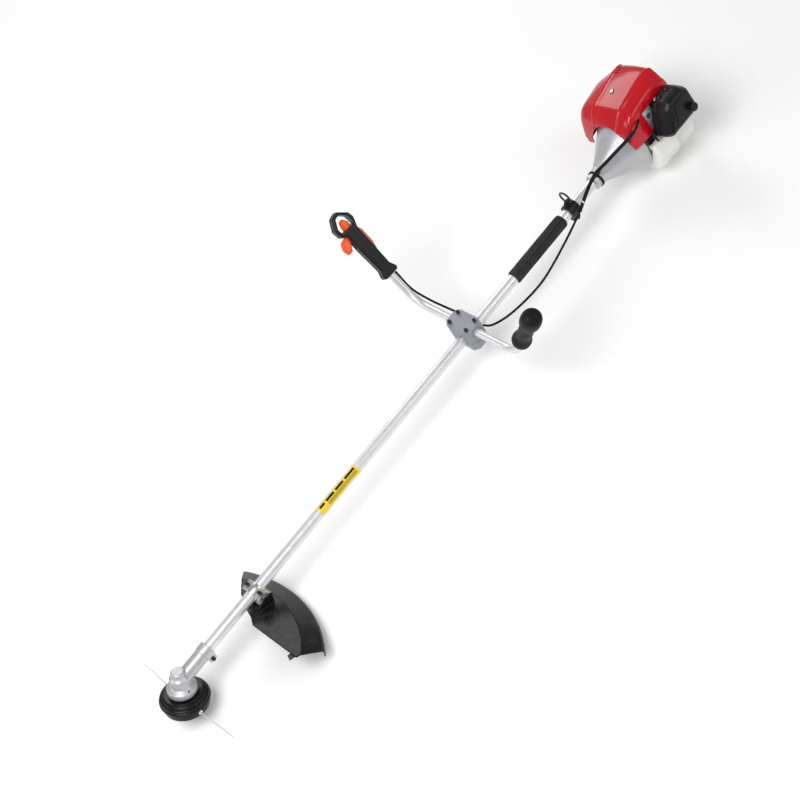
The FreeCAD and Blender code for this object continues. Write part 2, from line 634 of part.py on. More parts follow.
def guard_shell():
    """Moulded guard: flat plate, sloping apron and skirt, concentric with the spindle."""
    dish = new_body("guard_dish")
    revolve(dish, [
        ("guard_front - 20", "guard_height"), ("guard_crease", "guard_height"),
        ("guard_outer - 4", "guard_height - guard_apron"), ("guard_outer", "guard_height - guard_apron - 5"),
        ("guard_outer", "guard_height - guard_apron - guard_skirt"),
        ("guard_outer - guard_sheet", "guard_height - guard_apron - guard_skirt"),
        ("guard_outer - guard_sheet", "guard_height - guard_apron - 6"),
        ("guard_outer - 5 - guard_sheet", "guard_height - guard_apron - 2"),
        ("guard_crease - 1.5", "guard_height - guard_sheet"), ("guard_front - 20", "guard_height - guard_sheet")])
    plan = new_body("guard_plan")
    sketch = new_sketch(plan, "Plan")
    outline(sketch, [
        ("guard_front", "-203"), ("guard_front", "-44"), ("guard_front + 13", "-22"), ("guard_front + 22", "6"),
        ("guard_front + 46", "57"), ("guard_front + 112", "136"), ("guard_front + 146", "86"),
        ("guard_outer + 30", "60"), ("guard_outer + 30", "-160"), ("guard_front + 76", "-216")])
    extrude(plan, sketch, "200", both=True)
    on_spindle(dish)
    on_spindle(plan)
    trimmed = boolean("Part::Common", "guard_trimmed", dish, plan)
    pad = document.addObject("Part::Box", "guard_boss")
    for field, formula in (("Length", "48"), ("Width", "52"), ("Height", "34")):
        bind(pad, field, formula)
    pad.Placement = Placement(V(), SPINDLE).multiply(
        Placement(V(size("guard_front + 34"), -26, size("guard_height - guard_sheet / 2")), Rotation()))
    fused = boolean("Part::Fuse", "guard_moulding", trimmed, pad)
    room = document.addObject("Part::Box", "guard_room")
    for field, formula in (("Length", "90"), ("Width", "80"), ("Height", "60")):
        bind(room, field, formula)
    place(room, "guard_clamp_x - 45", "-40", "-20")
    sub_part(boolean("Part::Cut", "guard_body", fused, room), "guard_shell")


def guard_bracket():
    """Two pressed halves that grip the tube and carry the guard."""
    shapes = []
    radius = size("tube_od / 2 + fit_gap")
    x = size("guard_clamp_x")
    for side in (-1, 1):
        saddle = Part.makeCylinder(radius + 3, 26, V(x - 13, 0, 0), V(1, 0, 0))
        ears = Part.makeBox(26, 64, 5, V(x - 13, -32, 0.5 if side > 0 else -5.5))
        half = saddle.fuse(ears)
        if side < 0:
            foot = Part.makeBox(40, 46, 3.9, V(x - 20, -23, -19.9))
            half = half.fuse(foot)
            keep = Part.makeBox(60, 80, 40, V(x - 30, -40, -40.5))
        else:
            keep = Part.makeBox(60, 80, 40, V(x - 30, -40, 0.5))
        half = half.common(keep)
        half = half.cut(Part.makeCylinder(radius, 60, V(x - 30, 0, 0), V(1, 0, 0)))
        for across in (-1, 1):
            centre = V(x, across * size("guard_screw_reach"), -40)
            half = half.cut(Part.makeCylinder(size("bolt_dia / 2 + fit_gap"), 80, centre))
        shapes.append(half.removeSplitter())
    sub_part(computed("guard_clamp_halves", Part.makeCompound(shapes)), "guard_bracket")


def line_cutter():
    """Steel blade under the guard's left end that trims the line."""
    body = new_body("line_cutter")
    sketch = new_sketch(body, "Blade")
    outline(sketch, [("0", "0"), ("34", "0"), ("34", "16"), ("6", "16")])
    extrude(body, sketch, "1.6")
    local = Placement(V(size("guard_front - 14"), -196, size("guard_height - guard_sheet - 2.1")), Rotation())
    body.Placement = Placement(V(), SPINDLE).multiply(local)
    sub_part(body, "line_cutter")


# ---------------------------------------------------------------- tube and drive shaft

def tube_and_shaft():
    """Main tube, the shaft in it and the bushes that steady the shaft."""
    tube = ring_part("main_tube", "tube_od", "tube_od - 2 * tube_wall", "tube_back - tube_front")
    place(tube, "tube_front", turn=ALONG_X)
    shaft = document.addObject("Part::Cylinder", "drive_rod")
    bind(shaft, "Radius", "drive_dia / 2")
    bind(shaft, "Height", "engine_front + drum_front - 43")
    place(sub_part(shaft, "drive_shaft"), "43", turn=ALONG_X)
    bush = new_body("bush")
    section = new_sketch(bush, "Section")
    circle(section, "tube_od - 2 * tube_wall - 2 * fit_gap")
    circle(section, "drive_dia + 2 * fit_gap")
    extrude(bush, section, "36")
    count = 6
    gap = (size("tube_back") - size("tube_front")) / count
    spots = [(bush, Placement(V(size("tube_front") + (i + 0.5) * gap, 0, 0), ALONG_X)) for i in range(count)]
    copies("shaft_bushes", spots)


# ---------------------------------------------------------------- handlebar and its clamp

def clamp_piece(label, low, high):
    """A rounded block of the handlebar clamp between two heights, before its grooves are cut."""
    body = new_body(label)
    sketch = new_sketch(body, "Plan", "XY_Plane", low)
    half_width, half_length, corner = "clamp_width / 2", "clamp_length / 2", "12"
    corners = []
    for sx, sy in ((-1, -1), (1, -1), (1, 1), (-1, 1)):
        near_x = (f"{sx} * ({half_width} - {corner})", f"{sy} * {half_length}")
        near_y = (f"{sx} * {half_width}", f"{sy} * ({half_length} - {corner})")
        corners += [near_y, near_x] if sx * sy > 0 else [near_x, near_y]
    outline(sketch, corners)
    extrude(body, sketch, f"({high}) - ({low})")
    round_edges(body, 5, runs_along(V(0, 0, 1)))
    return body


def groove(body, plane, diameter, height, length):
    """Cuts a round groove through the clamp along the normal of a plane."""
    sketch = new_sketch(body, "Groove" + plane[:2], plane)
    circle(sketch, diameter, 0, height)
    cut_volume(body, extrude(body, sketch, length, "PartDesign::Pocket", both=True))


def clamp_holes(body, diameter="bolt_dia + 2 * fit_gap"):
    sketch = new_sketch(body, "BoltHoles", "XY_Plane")
    for sx in (-1, 1):
        for sy in (-1, 1):
            circle(sketch, diameter, f"{sx} * bolt_pitch_x / 2", f"{sy} * bolt_pitch_y / 2")
    cut_volume(body, extrude(body, sketch, "300", "PartDesign::Pocket", both=True))


def handle_clamp():
    """Cap over the bar, saddle between bar and tube, and base under the tube."""
    bar, tube = "bar_dia + 2 * fit_gap", "tube_od + 2 * fit_gap"
    cap = clamp_piece("clamp_cap", "bar_rise + clamp_split / 2", "clamp_top")
    groove(cap, "XZ_Plane", bar, "bar_rise", "clamp_length + 20")
    saddle = clamp_piece("clamp_saddle", "clamp_split / 2", "bar_rise - clamp_split / 2")
    groove(saddle, "XZ_Plane", bar, "bar_rise", "clamp_length + 20")
    groove(saddle, "YZ_Plane", tube, 0, "clamp_width + 20")
    base = clamp_piece("clamp_base", "clamp_bottom", "-clamp_split / 2")
    groove(base, "YZ_Plane", tube, 0, "clamp_width + 20")
    for body in (cap, saddle, base):
        clamp_holes(body)
        place(sub_part(body, body.Name), "clamp_x")


def clamp_screws():
    """Socket screws of the handlebar clamp, the guard's clamp, the gear case's lug and the harness clamp."""
    across = Rotation(V(1, 0, 0), 90)
    long_screw = cap_screw("handle_screw", "clamp_top - clamp_bottom - 4")
    guard_screw = cap_screw("guard_screw", "13")
    lug_screw = cap_screw("lug_screw", "lug_width + 5")
    corners = [(sx, sy) for sx in (-1, 1) for sy in (-1, 1)]
    spots = [(long_screw, Placement(V(size(f"clamp_x + {sx} * bolt_pitch_x / 2"), size(f"{sy} * bolt_pitch_y / 2"),
                                      size("clamp_top")), Rotation())) for sx, sy in corners]
    spots += [(guard_screw, Placement(V(size("guard_clamp_x"), side * size("guard_screw_reach"),
                                        size("guard_ear_top")), Rotation())) for side in (-1, 1)]
    spots.append((lug_screw, Placement(V(size("socket_end - 12"), size("-lug_width / 2"), size("8 - lug_drop")),
                                       across)))
    spots.append((lug_screw, Placement(V(size("hanger_x"), -9, size("-hanger_dia / 2 - 5")), across)))
    copies("clamp_screws", spots)


def bar_lean():
    return Rotation(V(0, 1, 0), size("bar_sweep"))


def handlebar():
    """Bent tube: straight across the machine, both arms bent up."""
    body = new_body("handlebar")
    spine = new_sketch(body, "Spine", "YZ_Plane")
    bend, radius = math.radians(size("bar_bend")), size("bend_radius")
    straight = size("bar_half") - radius * math.tan(bend / 2)
    arm = size("bar_arm") - radius * math.tan(bend / 2)
    start = V(straight, 0, 0)
    centre = start + V(0, radius, 0)
    leave = centre + V(radius * math.sin(bend), -radius * math.cos(bend), 0)
    tip = leave + V(arm * math.cos(bend), arm * math.sin(bend), 0)
    spine.addGeometry(Part.LineSegment(V(), start), False)
    spine.addGeometry(Part.ArcOfCircle(Part.Circle(centre, V(0, 0, 1), radius), -math.pi / 2, bend - math.pi / 2),
                      False)
    spine.addGeometry(Part.LineSegment(leave, tip), False)
    for rule in (("Coincident", 0, 1, -1, 1), ("Horizontal", 0), ("Tangent", 0, 2, 1, 1), ("Tangent", 1, 2, 2, 1)):
        spine.addConstraint(Sketcher.Constraint(*rule))
    tangent = "bend_radius * tan(bar_bend / 2 * 1 deg)"
    driven = [(("Radius", 1, radius), "bend_radius"), (("Distance", 0, straight), f"bar_half - {tangent}"),
              (("Distance", 2, arm), f"bar_arm - {tangent}"), (("Angle", -1, 1, 2, 1, bend), "bar_bend * 1 deg")]
    for rule, formula in driven:
        index = spine.addConstraint(Sketcher.Constraint(*rule))
        bind(spine, f"Constraints[{index}]", formula)
    section = new_sketch(body, "Section", "XZ_Plane")
    circle(section, "bar_dia")
    circle(section, "bar_dia - 2 * bar_wall")
    half = body.newObject("PartDesign::AdditivePipe", "Arm")
    half.Profile = section
    half.Spine = spine
    document.recompute()
    both = body.newObject("PartDesign::Mirrored", "BothArms")
    both.Originals = [half]
    both.MirrorPlane = (origin_item(body, "XZ_Plane"), [""])
    body.Tip = both
    place(sub_part(body, "handlebar"), "clamp_x", 0, "bar_rise", bar_lean())


def arm_frame(side):
    """Placement of an arm: origin at the bend's corner, +Z outward along the arm, +X towards the head."""
    bend = math.radians(size("bar_bend"))
    along = bar_lean().multVec(V(0, side * math.cos(bend), math.sin(bend)))
    forward = bar_lean().multVec(V(-1, 0, 0))
    across = along.cross(forward)
    turn = Rotation(forward, across, along, "ZXY")
    corner = V(size("clamp_x"), 0, size("bar_rise")) + V(0, side * size("bar_half"), 0)
    return Placement(corner, turn)


def left_grip():
    """Rubber grip with a flared inner end and a ball end."""
    grip = turned("left_grip", [
        ("bar_dia / 2 + fit_gap", "left_grip_start"), ("21", "left_grip_start"), ("23.5", "left_grip_start + 4"),
        ("23.5", "left_grip_start + 22"), ("20", "left_grip_start + 32"), ("17.5", "left_grip_start + 46"),
        ("18.5", "left_grip_start + 75"), ("17.5", "left_grip_end - 74"), ("21", "left_grip_end - 56"),
        ("24.5", "left_grip_end - 42"), ("25", "left_grip_end - 22"), ("22", "left_grip_end - 8"),
        ("15", "left_grip_end - 1"), ("0", "left_grip_end"), ("0", "bar_arm + 1"),
        ("bar_dia / 2 + fit_gap", "bar_arm + 1")])
    grip.Placement = arm_frame(-1)


TRIGGER_PIVOT = ("16.5", "right_grip_end - 9")
LOCK_PIVOT = ("-16.5", "right_grip_end - 9")
SWITCH_PIVOT = ("-1", "right_grip_end + 3")


def throttle_solid():
    """Throttle grip before it is parted: body, flared collar, loop and cavity."""
    body = new_body("throttle_solid")
    sketch = new_sketch(body, "Side", "XZ_Plane")
    half = "grip_width / 2"
    outline(sketch, [
        ("-23", "right_grip_start"), ("23", "right_grip_start"), ("23", "right_grip_start + 10"),
        (f"{half} - 1", "right_grip_start + 26"), (f"{half} + 1", "right_grip_end - 52"),
        (f"{half} - 1", "right_grip_end - 8"), ("31", "right_grip_end + 2"), ("33", "right_grip_end + 24"),
        ("16", "right_loop_end - 5"), ("-4", "right_loop_end"), ("-27", "right_loop_end - 22"),
        ("-30", "right_loop_end - 38"), (f"-{half} - 1", "right_grip_end - 8"),
        (f"-{half}", "right_grip_end - 60"), (f"-{half} + 2", "right_grip_start + 26"),
        ("-23", "right_grip_start + 10")])
    extrude(body, sketch, "grip_depth", both=True)
    round_edges(body, 7, runs_along(V(0, 1, 0)), "RoundCorners")
    document.recompute()
    flat = size("grip_depth / 2")
    round_edges(body, 6, lambda edge: all(abs(abs(v.Y) - flat) < 1e-6 for v in edge.Vertexes), "RoundSides")
    return body


def loop_hole(body):
    """The hole inside the loop."""
    sketch = new_sketch(body, "LoopHole", "XZ_Plane")
    outline(sketch, [("-20", "right_grip_end + 6"), ("22", "right_grip_end + 6"), ("23", "right_grip_end + 22"),
                     ("10", "right_loop_end - 12"), ("-4", "right_loop_end - 10"), ("-19", "right_loop_end - 27")])
    cut_volume(body, extrude(body, sketch, "grip_depth * 2", "PartDesign::Pocket", both=True))


def grip_cavity(body):
    """Room for the bar, the trigger, the lock lever and the switch."""
    bar = new_sketch(body, "BarBore", "XY_Plane", "right_grip_start - 1")
    circle(bar, "bar_dia + 2 * fit_gap")
    cut_volume(body, extrude(body, bar, "bar_arm - right_grip_start + 3", "PartDesign::Pocket", reverse=True))
    slot = new_sketch(body, "LeverSlot", "XZ_Plane")
    outline(slot, [("-40", "right_grip_end - 84"), ("-10.6", "right_grip_end - 84"), ("-10.6", "right_grip_end - 50"),
                   ("10.6", "right_grip_end - 50"), ("10.6", "right_grip_end - 45"), ("40", "right_grip_end - 45"),
                   ("40", "right_grip_end - 1"), ("-40", "right_grip_end - 1")])
    cut_volume(body, extrude(body, slot, "trigger_width + 1.6", "PartDesign::Pocket", both=True))
    switch = new_sketch(body, "SwitchSlot", "XZ_Plane")
    outline(switch, [("-11", "right_grip_end - 4"), ("9", "right_grip_end - 4"), ("9", "right_grip_end + 7"),
                     ("-11", "right_grip_end + 7")])
    cut_volume(body, extrude(body, switch, "14", "PartDesign::Pocket", both=True))
    holes = new_sketch(body, "PivotHoles", "XZ_Plane")
    for pivot in (TRIGGER_PIVOT, LOCK_PIVOT, SWITCH_PIVOT):
        circle(holes, "lever_pin_dia + 0.2", *pivot)
    cut_volume(body, extrude(body, holes, "20", "PartDesign::Pocket", both=True))


def throttle_grip():
    """The grip's two half shells, parted along the plane of the loop."""
    solid = throttle_solid()
    loop_hole(solid)
    grip_cavity(solid)
    frame = arm_frame(1)
    solid.Placement = frame
    for label, side in (("throttle_shell_outer", 1), ("throttle_shell_inner", -1)):
        half = document.addObject("Part::Box", label + "_half")
        for field, formula in (("Length", "160"), ("Width", "60"), ("Height", "300")):
            bind(half, field, formula)
        offset = 0 if side > 0 else -60
        half.Placement = frame.multiply(Placement(V(-80, offset, 50), Rotation()))
        sub_part(boolean("Part::Common", label + "_cut", solid, half), label)


def lever(label, corners, width, pivot, pin_length):
    """A flat lever in the throttle grip, drawn in the plane of the loop, on its cross pin."""
    body = new_body(label)
    sketch = new_sketch(body, "Side", "XZ_Plane")
    outline(sketch, corners)
    extrude(body, sketch, width, both=True)
    round_edges(body, 1.5, runs_along(V(0, 1, 0)))
    pin = new_sketch(body, "CrossPin", "XZ_Plane")
    circle(pin, "lever_pin_dia", *pivot)
    extrude(body, pin, pin_length, both=True)
    body.Placement = arm_frame(1)
    return sub_part(body, label)


def throttle_controls():
    """Trigger in front, lock lever behind, and the stop switch inside the loop."""
    lever("throttle_trigger", [
        ("13.5", "right_grip_end - 4"), ("20", "right_grip_end - 4"), ("38", "right_grip_end - 9"),
        ("46", "right_grip_end - 24"), ("44", "right_grip_end - 40"), ("37", "right_grip_end - 41.5"),
        ("33", "right_grip_end - 28"), ("13.5", "right_grip_end - 18")],
        "trigger_width", TRIGGER_PIVOT, "trigger_width + 7")
    lever("lock_lever", [
        ("-13.5", "right_grip_end - 4"), ("-20", "right_grip_end - 5"), ("-26", "right_grip_end - 20"),
        ("-25", "right_grip_end - 60"), ("-20", "right_grip_end - 80"), ("-16", "right_grip_end - 78"),
        ("-17", "right_grip_end - 58"), ("-13.5", "right_grip_end - 44")],
        "trigger_width - 1", LOCK_PIVOT, "trigger_width + 7")
    lever("stop_switch", [
        ("-9", "right_grip_end - 1"), ("7", "right_grip_end - 1"), ("7", "right_grip_end + 8"),
        ("3", "right_grip_end + 20"), ("-6", "right_grip_end + 22"), ("-9", "right_grip_end + 8")],
        "12", SWITCH_PIVOT, "19")


def throttle_cable():
    """Cable from the throttle grip, behind the clamp and over the clutch housing to the carburettor."""
    frame = arm_frame(1)
    corner = frame.Base
    start = frame.multVec(V(-14.5, -3, size("right_grip_start") - 4))
    mid = frame.multVec(V(-15, -6, 30))
    clamp_x, rise = size("clamp_x"), size("bar_rise")
    front = size("engine_front")
    points = [start, mid, corner + V(17, -34, 6), V(clamp_x + 22, 90, rise - 4), V(clamp_x + 34, 46, -2),
              V(clamp_x + 42, 0, -24), V(clamp_x + 58, -38, -12), V(clamp_x + 110, -66, -2),
              V(clamp_x + 200, -72, -4), V(clamp_x + 300, -58, 2), V(front - 90, -38, 14), V(front - 40, -24, 24)]
    left = size("hood_left")
    for x, y, z in ((6, -28, 30), (50, -52, 44), (92, -left + 8, 60), (122, -left - 8, 70), (144, -left - 7, 76),
                    (158, -left + 3, 76), (161, -left + 14, 74)):
        points.append(V(front + x, 0, 0) + ROLL.multVec(V(0, y, z)))
    path = Part.BSplineCurve()
    path.interpolate(points)
    wire = Part.Wire(path.toShape())
    section = Part.Wire(Part.makeCircle(3.2, points[0], path.tangent(path.FirstParameter)[0]))
    cable = wire.makePipeShell([section], True, True)
    sub_part(computed("cable_run", cable), "throttle_cable")


# ---------------------------------------------------------------- foam sleeve and harness hanger

def foam_grip():
    """Ribbed foam sleeve on the tube."""
    body = new_body("foam_grip")
    sketch = new_sketch(body, "Section")
    circle(sketch, "foam_dia")
    circle(sketch, "tube_od + 2 * fit_gap")
    extrude(body, sketch, "foam_back - foam_front")
    place(sub_part(body, "foam_grip"), "foam_front", turn=ALONG_X)


def harness_hanger():
    """Split clamp with an ear on top, and the ring that hangs in the ear."""
    body = new_body("harness_clamp")
    section = new_sketch(body, "Section", "YZ_Plane")
    circle(section, "hanger_dia")
    extrude(body, section, "hanger_width", both=True)
    ear = new_sketch(body, "Ear", "XZ_Plane")
    outline(ear, [("-11", "0"), ("11", "0"), ("11", "hanger_dia / 2 + 8"), ("5", "hanger_dia / 2 + 14"),
                  ("-5", "hanger_dia / 2 + 14"), ("-11", "hanger_dia / 2 + 8")])
    extrude(body, ear, "8", both=True)
    lug = new_sketch(body, "Lug", "XZ_Plane")
    outline(lug, [("-11", "-10"), ("-11", "-hanger_dia / 2 - 13"), ("11", "-hanger_dia / 2 - 13"), ("11", "-10")])
    extrude(body, lug, "18", both=True)
    bore = new_sketch(body, "Bore", "YZ_Plane")
    circle(bore, "tube_od + 2 * fit_gap")
    cut_volume(body, extrude(body, bore, "hanger_width + 10", "PartDesign::Pocket", both=True))
    eye = new_sketch(body, "Eye", "XZ_Plane")
    circle(eye, "ring_wire + 3", 0, "hanger_dia / 2 + 7")
    cut_volume(body, extrude(body, eye, "60", "PartDesign::Pocket", both=True))
    screw = new_sketch(body, "ScrewHole", "XZ_Plane")
    circle(screw, "bolt_dia", 0, "-hanger_dia / 2 - 5")
    cut_volume(body, extrude(body, screw, "60", "PartDesign::Pocket", both=True))
    slit = new_sketch(body, "Slit", "YZ_Plane")
    outline(slit, [("-clamp_slit / 2", "-5"), ("clamp_slit / 2", "-5"), ("clamp_slit / 2", "-60"),
                   ("-clamp_slit / 2", "-60")])
    cut_volume(body, extrude(body, slit, "hanger_width + 10", "PartDesign::Pocket", both=True))
    place(sub_part(body, "harness_clamp"), "hanger_x")
    ring = document.addObject("Part::Torus", "ring_wire")
    bind(ring, "Radius1", "ring_dia / 2")
    bind(ring, "Radius2", "ring_wire / 2")
    place(sub_part(ring, "harness_ring"), "hanger_x", 0, "hanger_dia / 2 + 7 + ring_dia / 2 - 1",
          Rotation(V(0, 1, 0), 90))


# ---------------------------------------------------------------- engine: drive side

def clutch_housing():
    """Cast bell from the tube's clamp to the fan housing."""
    body = new_body("clutch_housing")
    revolve(body, [
        ("tube_od / 2 + fit_gap", "0"), ("neck_dia / 2 - 1.5", "0"), ("neck_dia / 2", "1.5"),
        ("neck_dia / 2", "neck_length - 8"), ("neck_dia / 2 + 4", "neck_length + 4"), ("41", "64"),
        ("bell_mid_dia / 2", "bell_mid"), ("bell_end_dia / 2", "bell_end - 14"), ("bell_end_dia / 2", "bell_end"),
        ("bell_end_dia / 2 - bell_wall", "bell_end"), ("bell_end_dia / 2 - bell_wall", "bell_end - 12"),
        ("bell_mid_dia / 2 - bell_wall - 1", "bell_mid + 2"), ("drum_dia / 2 + 2", "drum_front + 22"),
        ("drum_dia / 2 + 2", "drum_front - 2"), ("28", "drum_front - 2"), ("28", "drum_front - 10"),
        ("17.5 + fit_gap", "drum_front - 10"), ("17.5 + fit_gap", "drum_front - 22"),
        ("tube_od / 2 + fit_gap", "drum_front - 22")])
    on_engine(sub_part(body, "clutch_housing"), turn=ALONG_X)


def clutch_band():
    """Rubber ring round the housing's neck."""
    band = ring_part("neck_band", "neck_dia + 5", "neck_dia + 2 * fit_gap", "6")
    on_engine(band, "neck_length - 16", turn=ALONG_X)


def clutch_drum():
    """Cup driven by the clutch shoes, with the hub that turns the drive shaft."""
    drum = turned("clutch_drum", [
        ("drive_dia / 2", "drum_front - 21"), ("7.5", "drum_front - 21"), ("7.5", "drum_front - 8"),
        ("11", "drum_front - 8"), ("11", "drum_front"), ("drum_dia / 2", "drum_front"),
        ("drum_dia / 2", "drum_front + drum_depth"), ("drum_dia / 2 - 3", "drum_front + drum_depth"),
        ("drum_dia / 2 - 3", "drum_front + 3"), ("9", "drum_front + 3"), ("9", "drum_front"),
        ("drive_dia / 2", "drum_front")])
    on_engine(drum, turn=ALONG_X)


def clutch_shoes():
    """Two weights that fly out into the drum, and the ring of spring wire that pulls them back."""
    outer, inner = size("drum_dia / 2 - 3.6"), 13
    start, width = size("drum_front + 6"), 16
    ring = Part.makeCylinder(outer, width, V(0, 0, start)).cut(Part.makeCylinder(inner, width, V(0, 0, start)))
    parting = Part.makeBox(2 * outer, 3, width, V(-outer, -1.5, start))
    halves = ring.cut(parting)
    spring = Part.makeTorus(outer - 6, 1.5, V(0, 0, start + width + 1.6))
    item = computed("shoe_pair", Part.makeCompound(list(halves.Solids) + [spring]))
    on_engine(sub_part(item, "clutch_shoes"), turn=ALONG_X)


def flywheel():
    """Flywheel disc with fan blades on its front face."""
    body = new_body("flywheel")
    revolve(body, [
        ("shaft_dia / 2 + fit_gap", "fan_front - 8"), ("16", "fan_front - 8"), ("16", "fan_front + 14"),
        ("fan_dia / 2", "fan_front + 16"), ("fan_dia / 2", "fan_front + 22"), ("18", "fan_front + 24"),
        ("18", "fan_front + 30"), ("shaft_dia / 2 + fit_gap", "fan_front + 30")])
    blade = new_sketch(body, "Blade", "XY_Plane", "fan_front + 4")
    outline(blade, [("24", "-1.2"), ("fan_dia / 2 - 4", "2"), ("fan_dia / 2 - 4", "4.4"), ("24", "1.2")])
    one = extrude(body, blade, "13")
    document.recompute()
    ring = body.newObject("PartDesign::PolarPattern", "Blades")
    ring.Originals = [one]
    ring.Axis = (origin_item(body, "Z_Axis"), [""])
    ring.Angle = 360
    ring.Occurrences = 14
    body.Tip = ring
    on_engine(sub_part(body, "flywheel"), turn=ALONG_X)


def crankshaft():
    """Journals, two webs and the crankpin between them."""
    start = size("drum_front") + 18
    shaft = Part.makeCylinder(size("shaft_dia / 2"), size("recoil_front") - start, V(0, 0, start))
    middle = size("case_front + case_back") / 2
    web_front = Part.makeCylinder(25, 8, V(0, 0, middle - 16))
    web_back = Part.makeCylinder(25, 8, V(0, 0, middle + 8))
    room = Part.makeCylinder(size("shaft_dia / 2") + 1, 16, V(0, 0, middle - 8))
    pin = Part.makeCylinder(6, 16, V(14, 0, middle - 8))
    shape = shaft.cut(room).fuse([web_front, web_back, pin]).removeSplitter()
    hub = Part.makeCylinder(12, 16, V(0, 0, size("drum_front") + 5))
    shape = shape.fuse(hub).removeSplitter()
    item = computed("crank_solid", shape)
    on_engine(sub_part(item, "crankshaft"), turn=ALONG_X)


# ---------------------------------------------------------------- engine: crankcase and top end

def box_body(name, x, y, z):
    """A block between three pairs of formulas, as a pad on the XY plane."""
    body = new_body(name)
    sketch = new_sketch(body, "Base", "XY_Plane", z[0])
    outline(sketch, [(x[0], y[0]), (x[1], y[0]), (x[1], y[1]), (x[0], y[1])])
    extrude(body, sketch, f"({z[1]}) - ({z[0]})")
    return body


def crankcase():
    """Hollow case round the crank, open at the top for the cylinder and closed at both shaft bosses."""
    body = box_body("crankcase", ("case_front", "case_back"), ("-case_half_width", "case_half_width"),
                    ("case_base", "case_top"))
    round_edges(body, 12, runs_along(V(1, 0, 0)))
    bore = new_sketch(body, "CrankRoom", "YZ_Plane", "case_front + case_wall")
    circle(bore, "2 * case_top - 12")
    cut_volume(body, extrude(body, bore, "case_back - case_front - 2 * case_wall", "PartDesign::Pocket", reverse=True))
    shaft = new_sketch(body, "ShaftBore", "YZ_Plane", "case_front - 5")
    circle(shaft, "shaft_dia + 2 * fit_gap")
    cut_volume(body, extrude(body, shaft, "case_back - case_front + 20", "PartDesign::Pocket", reverse=True))
    mouth = new_sketch(body, "CylinderMouth", "XY_Plane", "0")
    circle(mouth, "bore_dia + 8", "(case_front + case_back) / 2", 0)
    cut_volume(body, extrude(body, mouth, "case_top + 5", "PartDesign::Pocket", reverse=True))
    on_engine(sub_part(body, "crankcase"))


def cylinder():
    """Finned cylinder with its head, bored from below."""
    middle = "(case_front + case_back) / 2"
    body = new_body("cylinder")
    barrel = new_sketch(body, "Barrel", "XY_Plane", "case_top + fit_gap")
    circle(barrel, "bore_dia + 10", middle, 0)
    extrude(body, barrel, "head_height - case_top")
    fin = new_sketch(body, "Fin", "XY_Plane", "case_top + 8")
    half = "fin_size / 2"
    outline(fin, [(f"{middle} - {half}", f"-{half}"), (f"{middle} + {half}", f"-{half}"),
                  (f"{middle} + {half}", half), (f"{middle} - {half}", half)])
    one = extrude(body, fin, "2.5")
    document.recompute()
    stack = body.newObject("PartDesign::LinearPattern", "Fins")
    stack.Originals = [one]
    stack.Direction = (origin_item(body, "Z_Axis"), [""])
    bind(stack, "Length", "head_height - case_top - 14")
    bind(stack, "Occurrences", "fin_count")
    body.Tip = stack
    bore = new_sketch(body, "Bore", "XY_Plane", "case_top - 2")
    circle(bore, "bore_dia", middle, 0)
    cut_volume(body, extrude(body, bore, "head_height - case_top - 12", "PartDesign::Pocket", reverse=True))
    on_engine(sub_part(body, "cylinder"))


def piston():
    """Hollow piston, shown at the top of its stroke."""
    item = turned("piston", [
        ("0", "head_height - 20"), ("bore_dia / 2 - 0.1", "head_height - 20"), ("bore_dia / 2 - 0.1", "head_height - 50"),
        ("bore_dia / 2 - 3", "head_height - 50"), ("bore_dia / 2 - 3", "head_height - 25"), ("0", "head_height - 25")])
    on_engine(item, "(case_front + case_back) / 2")


def spark_plug():
    """Plug and its rubber cap, screwed into the cylinder's right side."""
    item = turned("spark_plug", [
        ("0", "0"), ("7", "0"), ("7", "10"), ("9", "10"), ("9", "16"), ("6", "17"), ("6", "24"), ("10", "25"),
        ("10", "40"), ("7", "44"), ("0", "44")])
    on_engine(item, "(case_front + case_back) / 2 + 20", "fin_size / 2 + 1", "head_height - 6",
              Rotation(V(1, 0, 0), -90))


def hood_corners(left, right, ridge, base, shoulder, top, shrink):
    """Cross-section of the red cover, drawn inward by a shrinkage."""
    inset = f" - {shrink}" if shrink else ""
    return [
        (f"-({left}{inset})", base), (f"-({left}{inset})", f"{shoulder} - 16"),
        (f"-({left} - 9{inset})", f"{shoulder}{inset}"), (f"-{ridge}", f"{top}{inset}"),
        (ridge, f"{top}{inset}"), (f"{right} - 9{inset}", f"{shoulder}{inset}"),
        (f"{right}{inset}", f"{shoulder} - 16"), (f"{right}{inset}", base)]


def hood_loft(body, kind, name, stations):
    """Joins cross-sections of the cover at several stations along the engine."""
    sections = []
    for number, (station, corners) in enumerate(stations):
        sketch = new_sketch(body, f"{name}{number}", "YZ_Plane", station)
        outline(sketch, corners)
        sections.append(sketch)
    item = body.newObject(kind, name)
    item.Profile = sections[0]
    item.Sections = sections[1:]
    item.Ruled = True
    return item


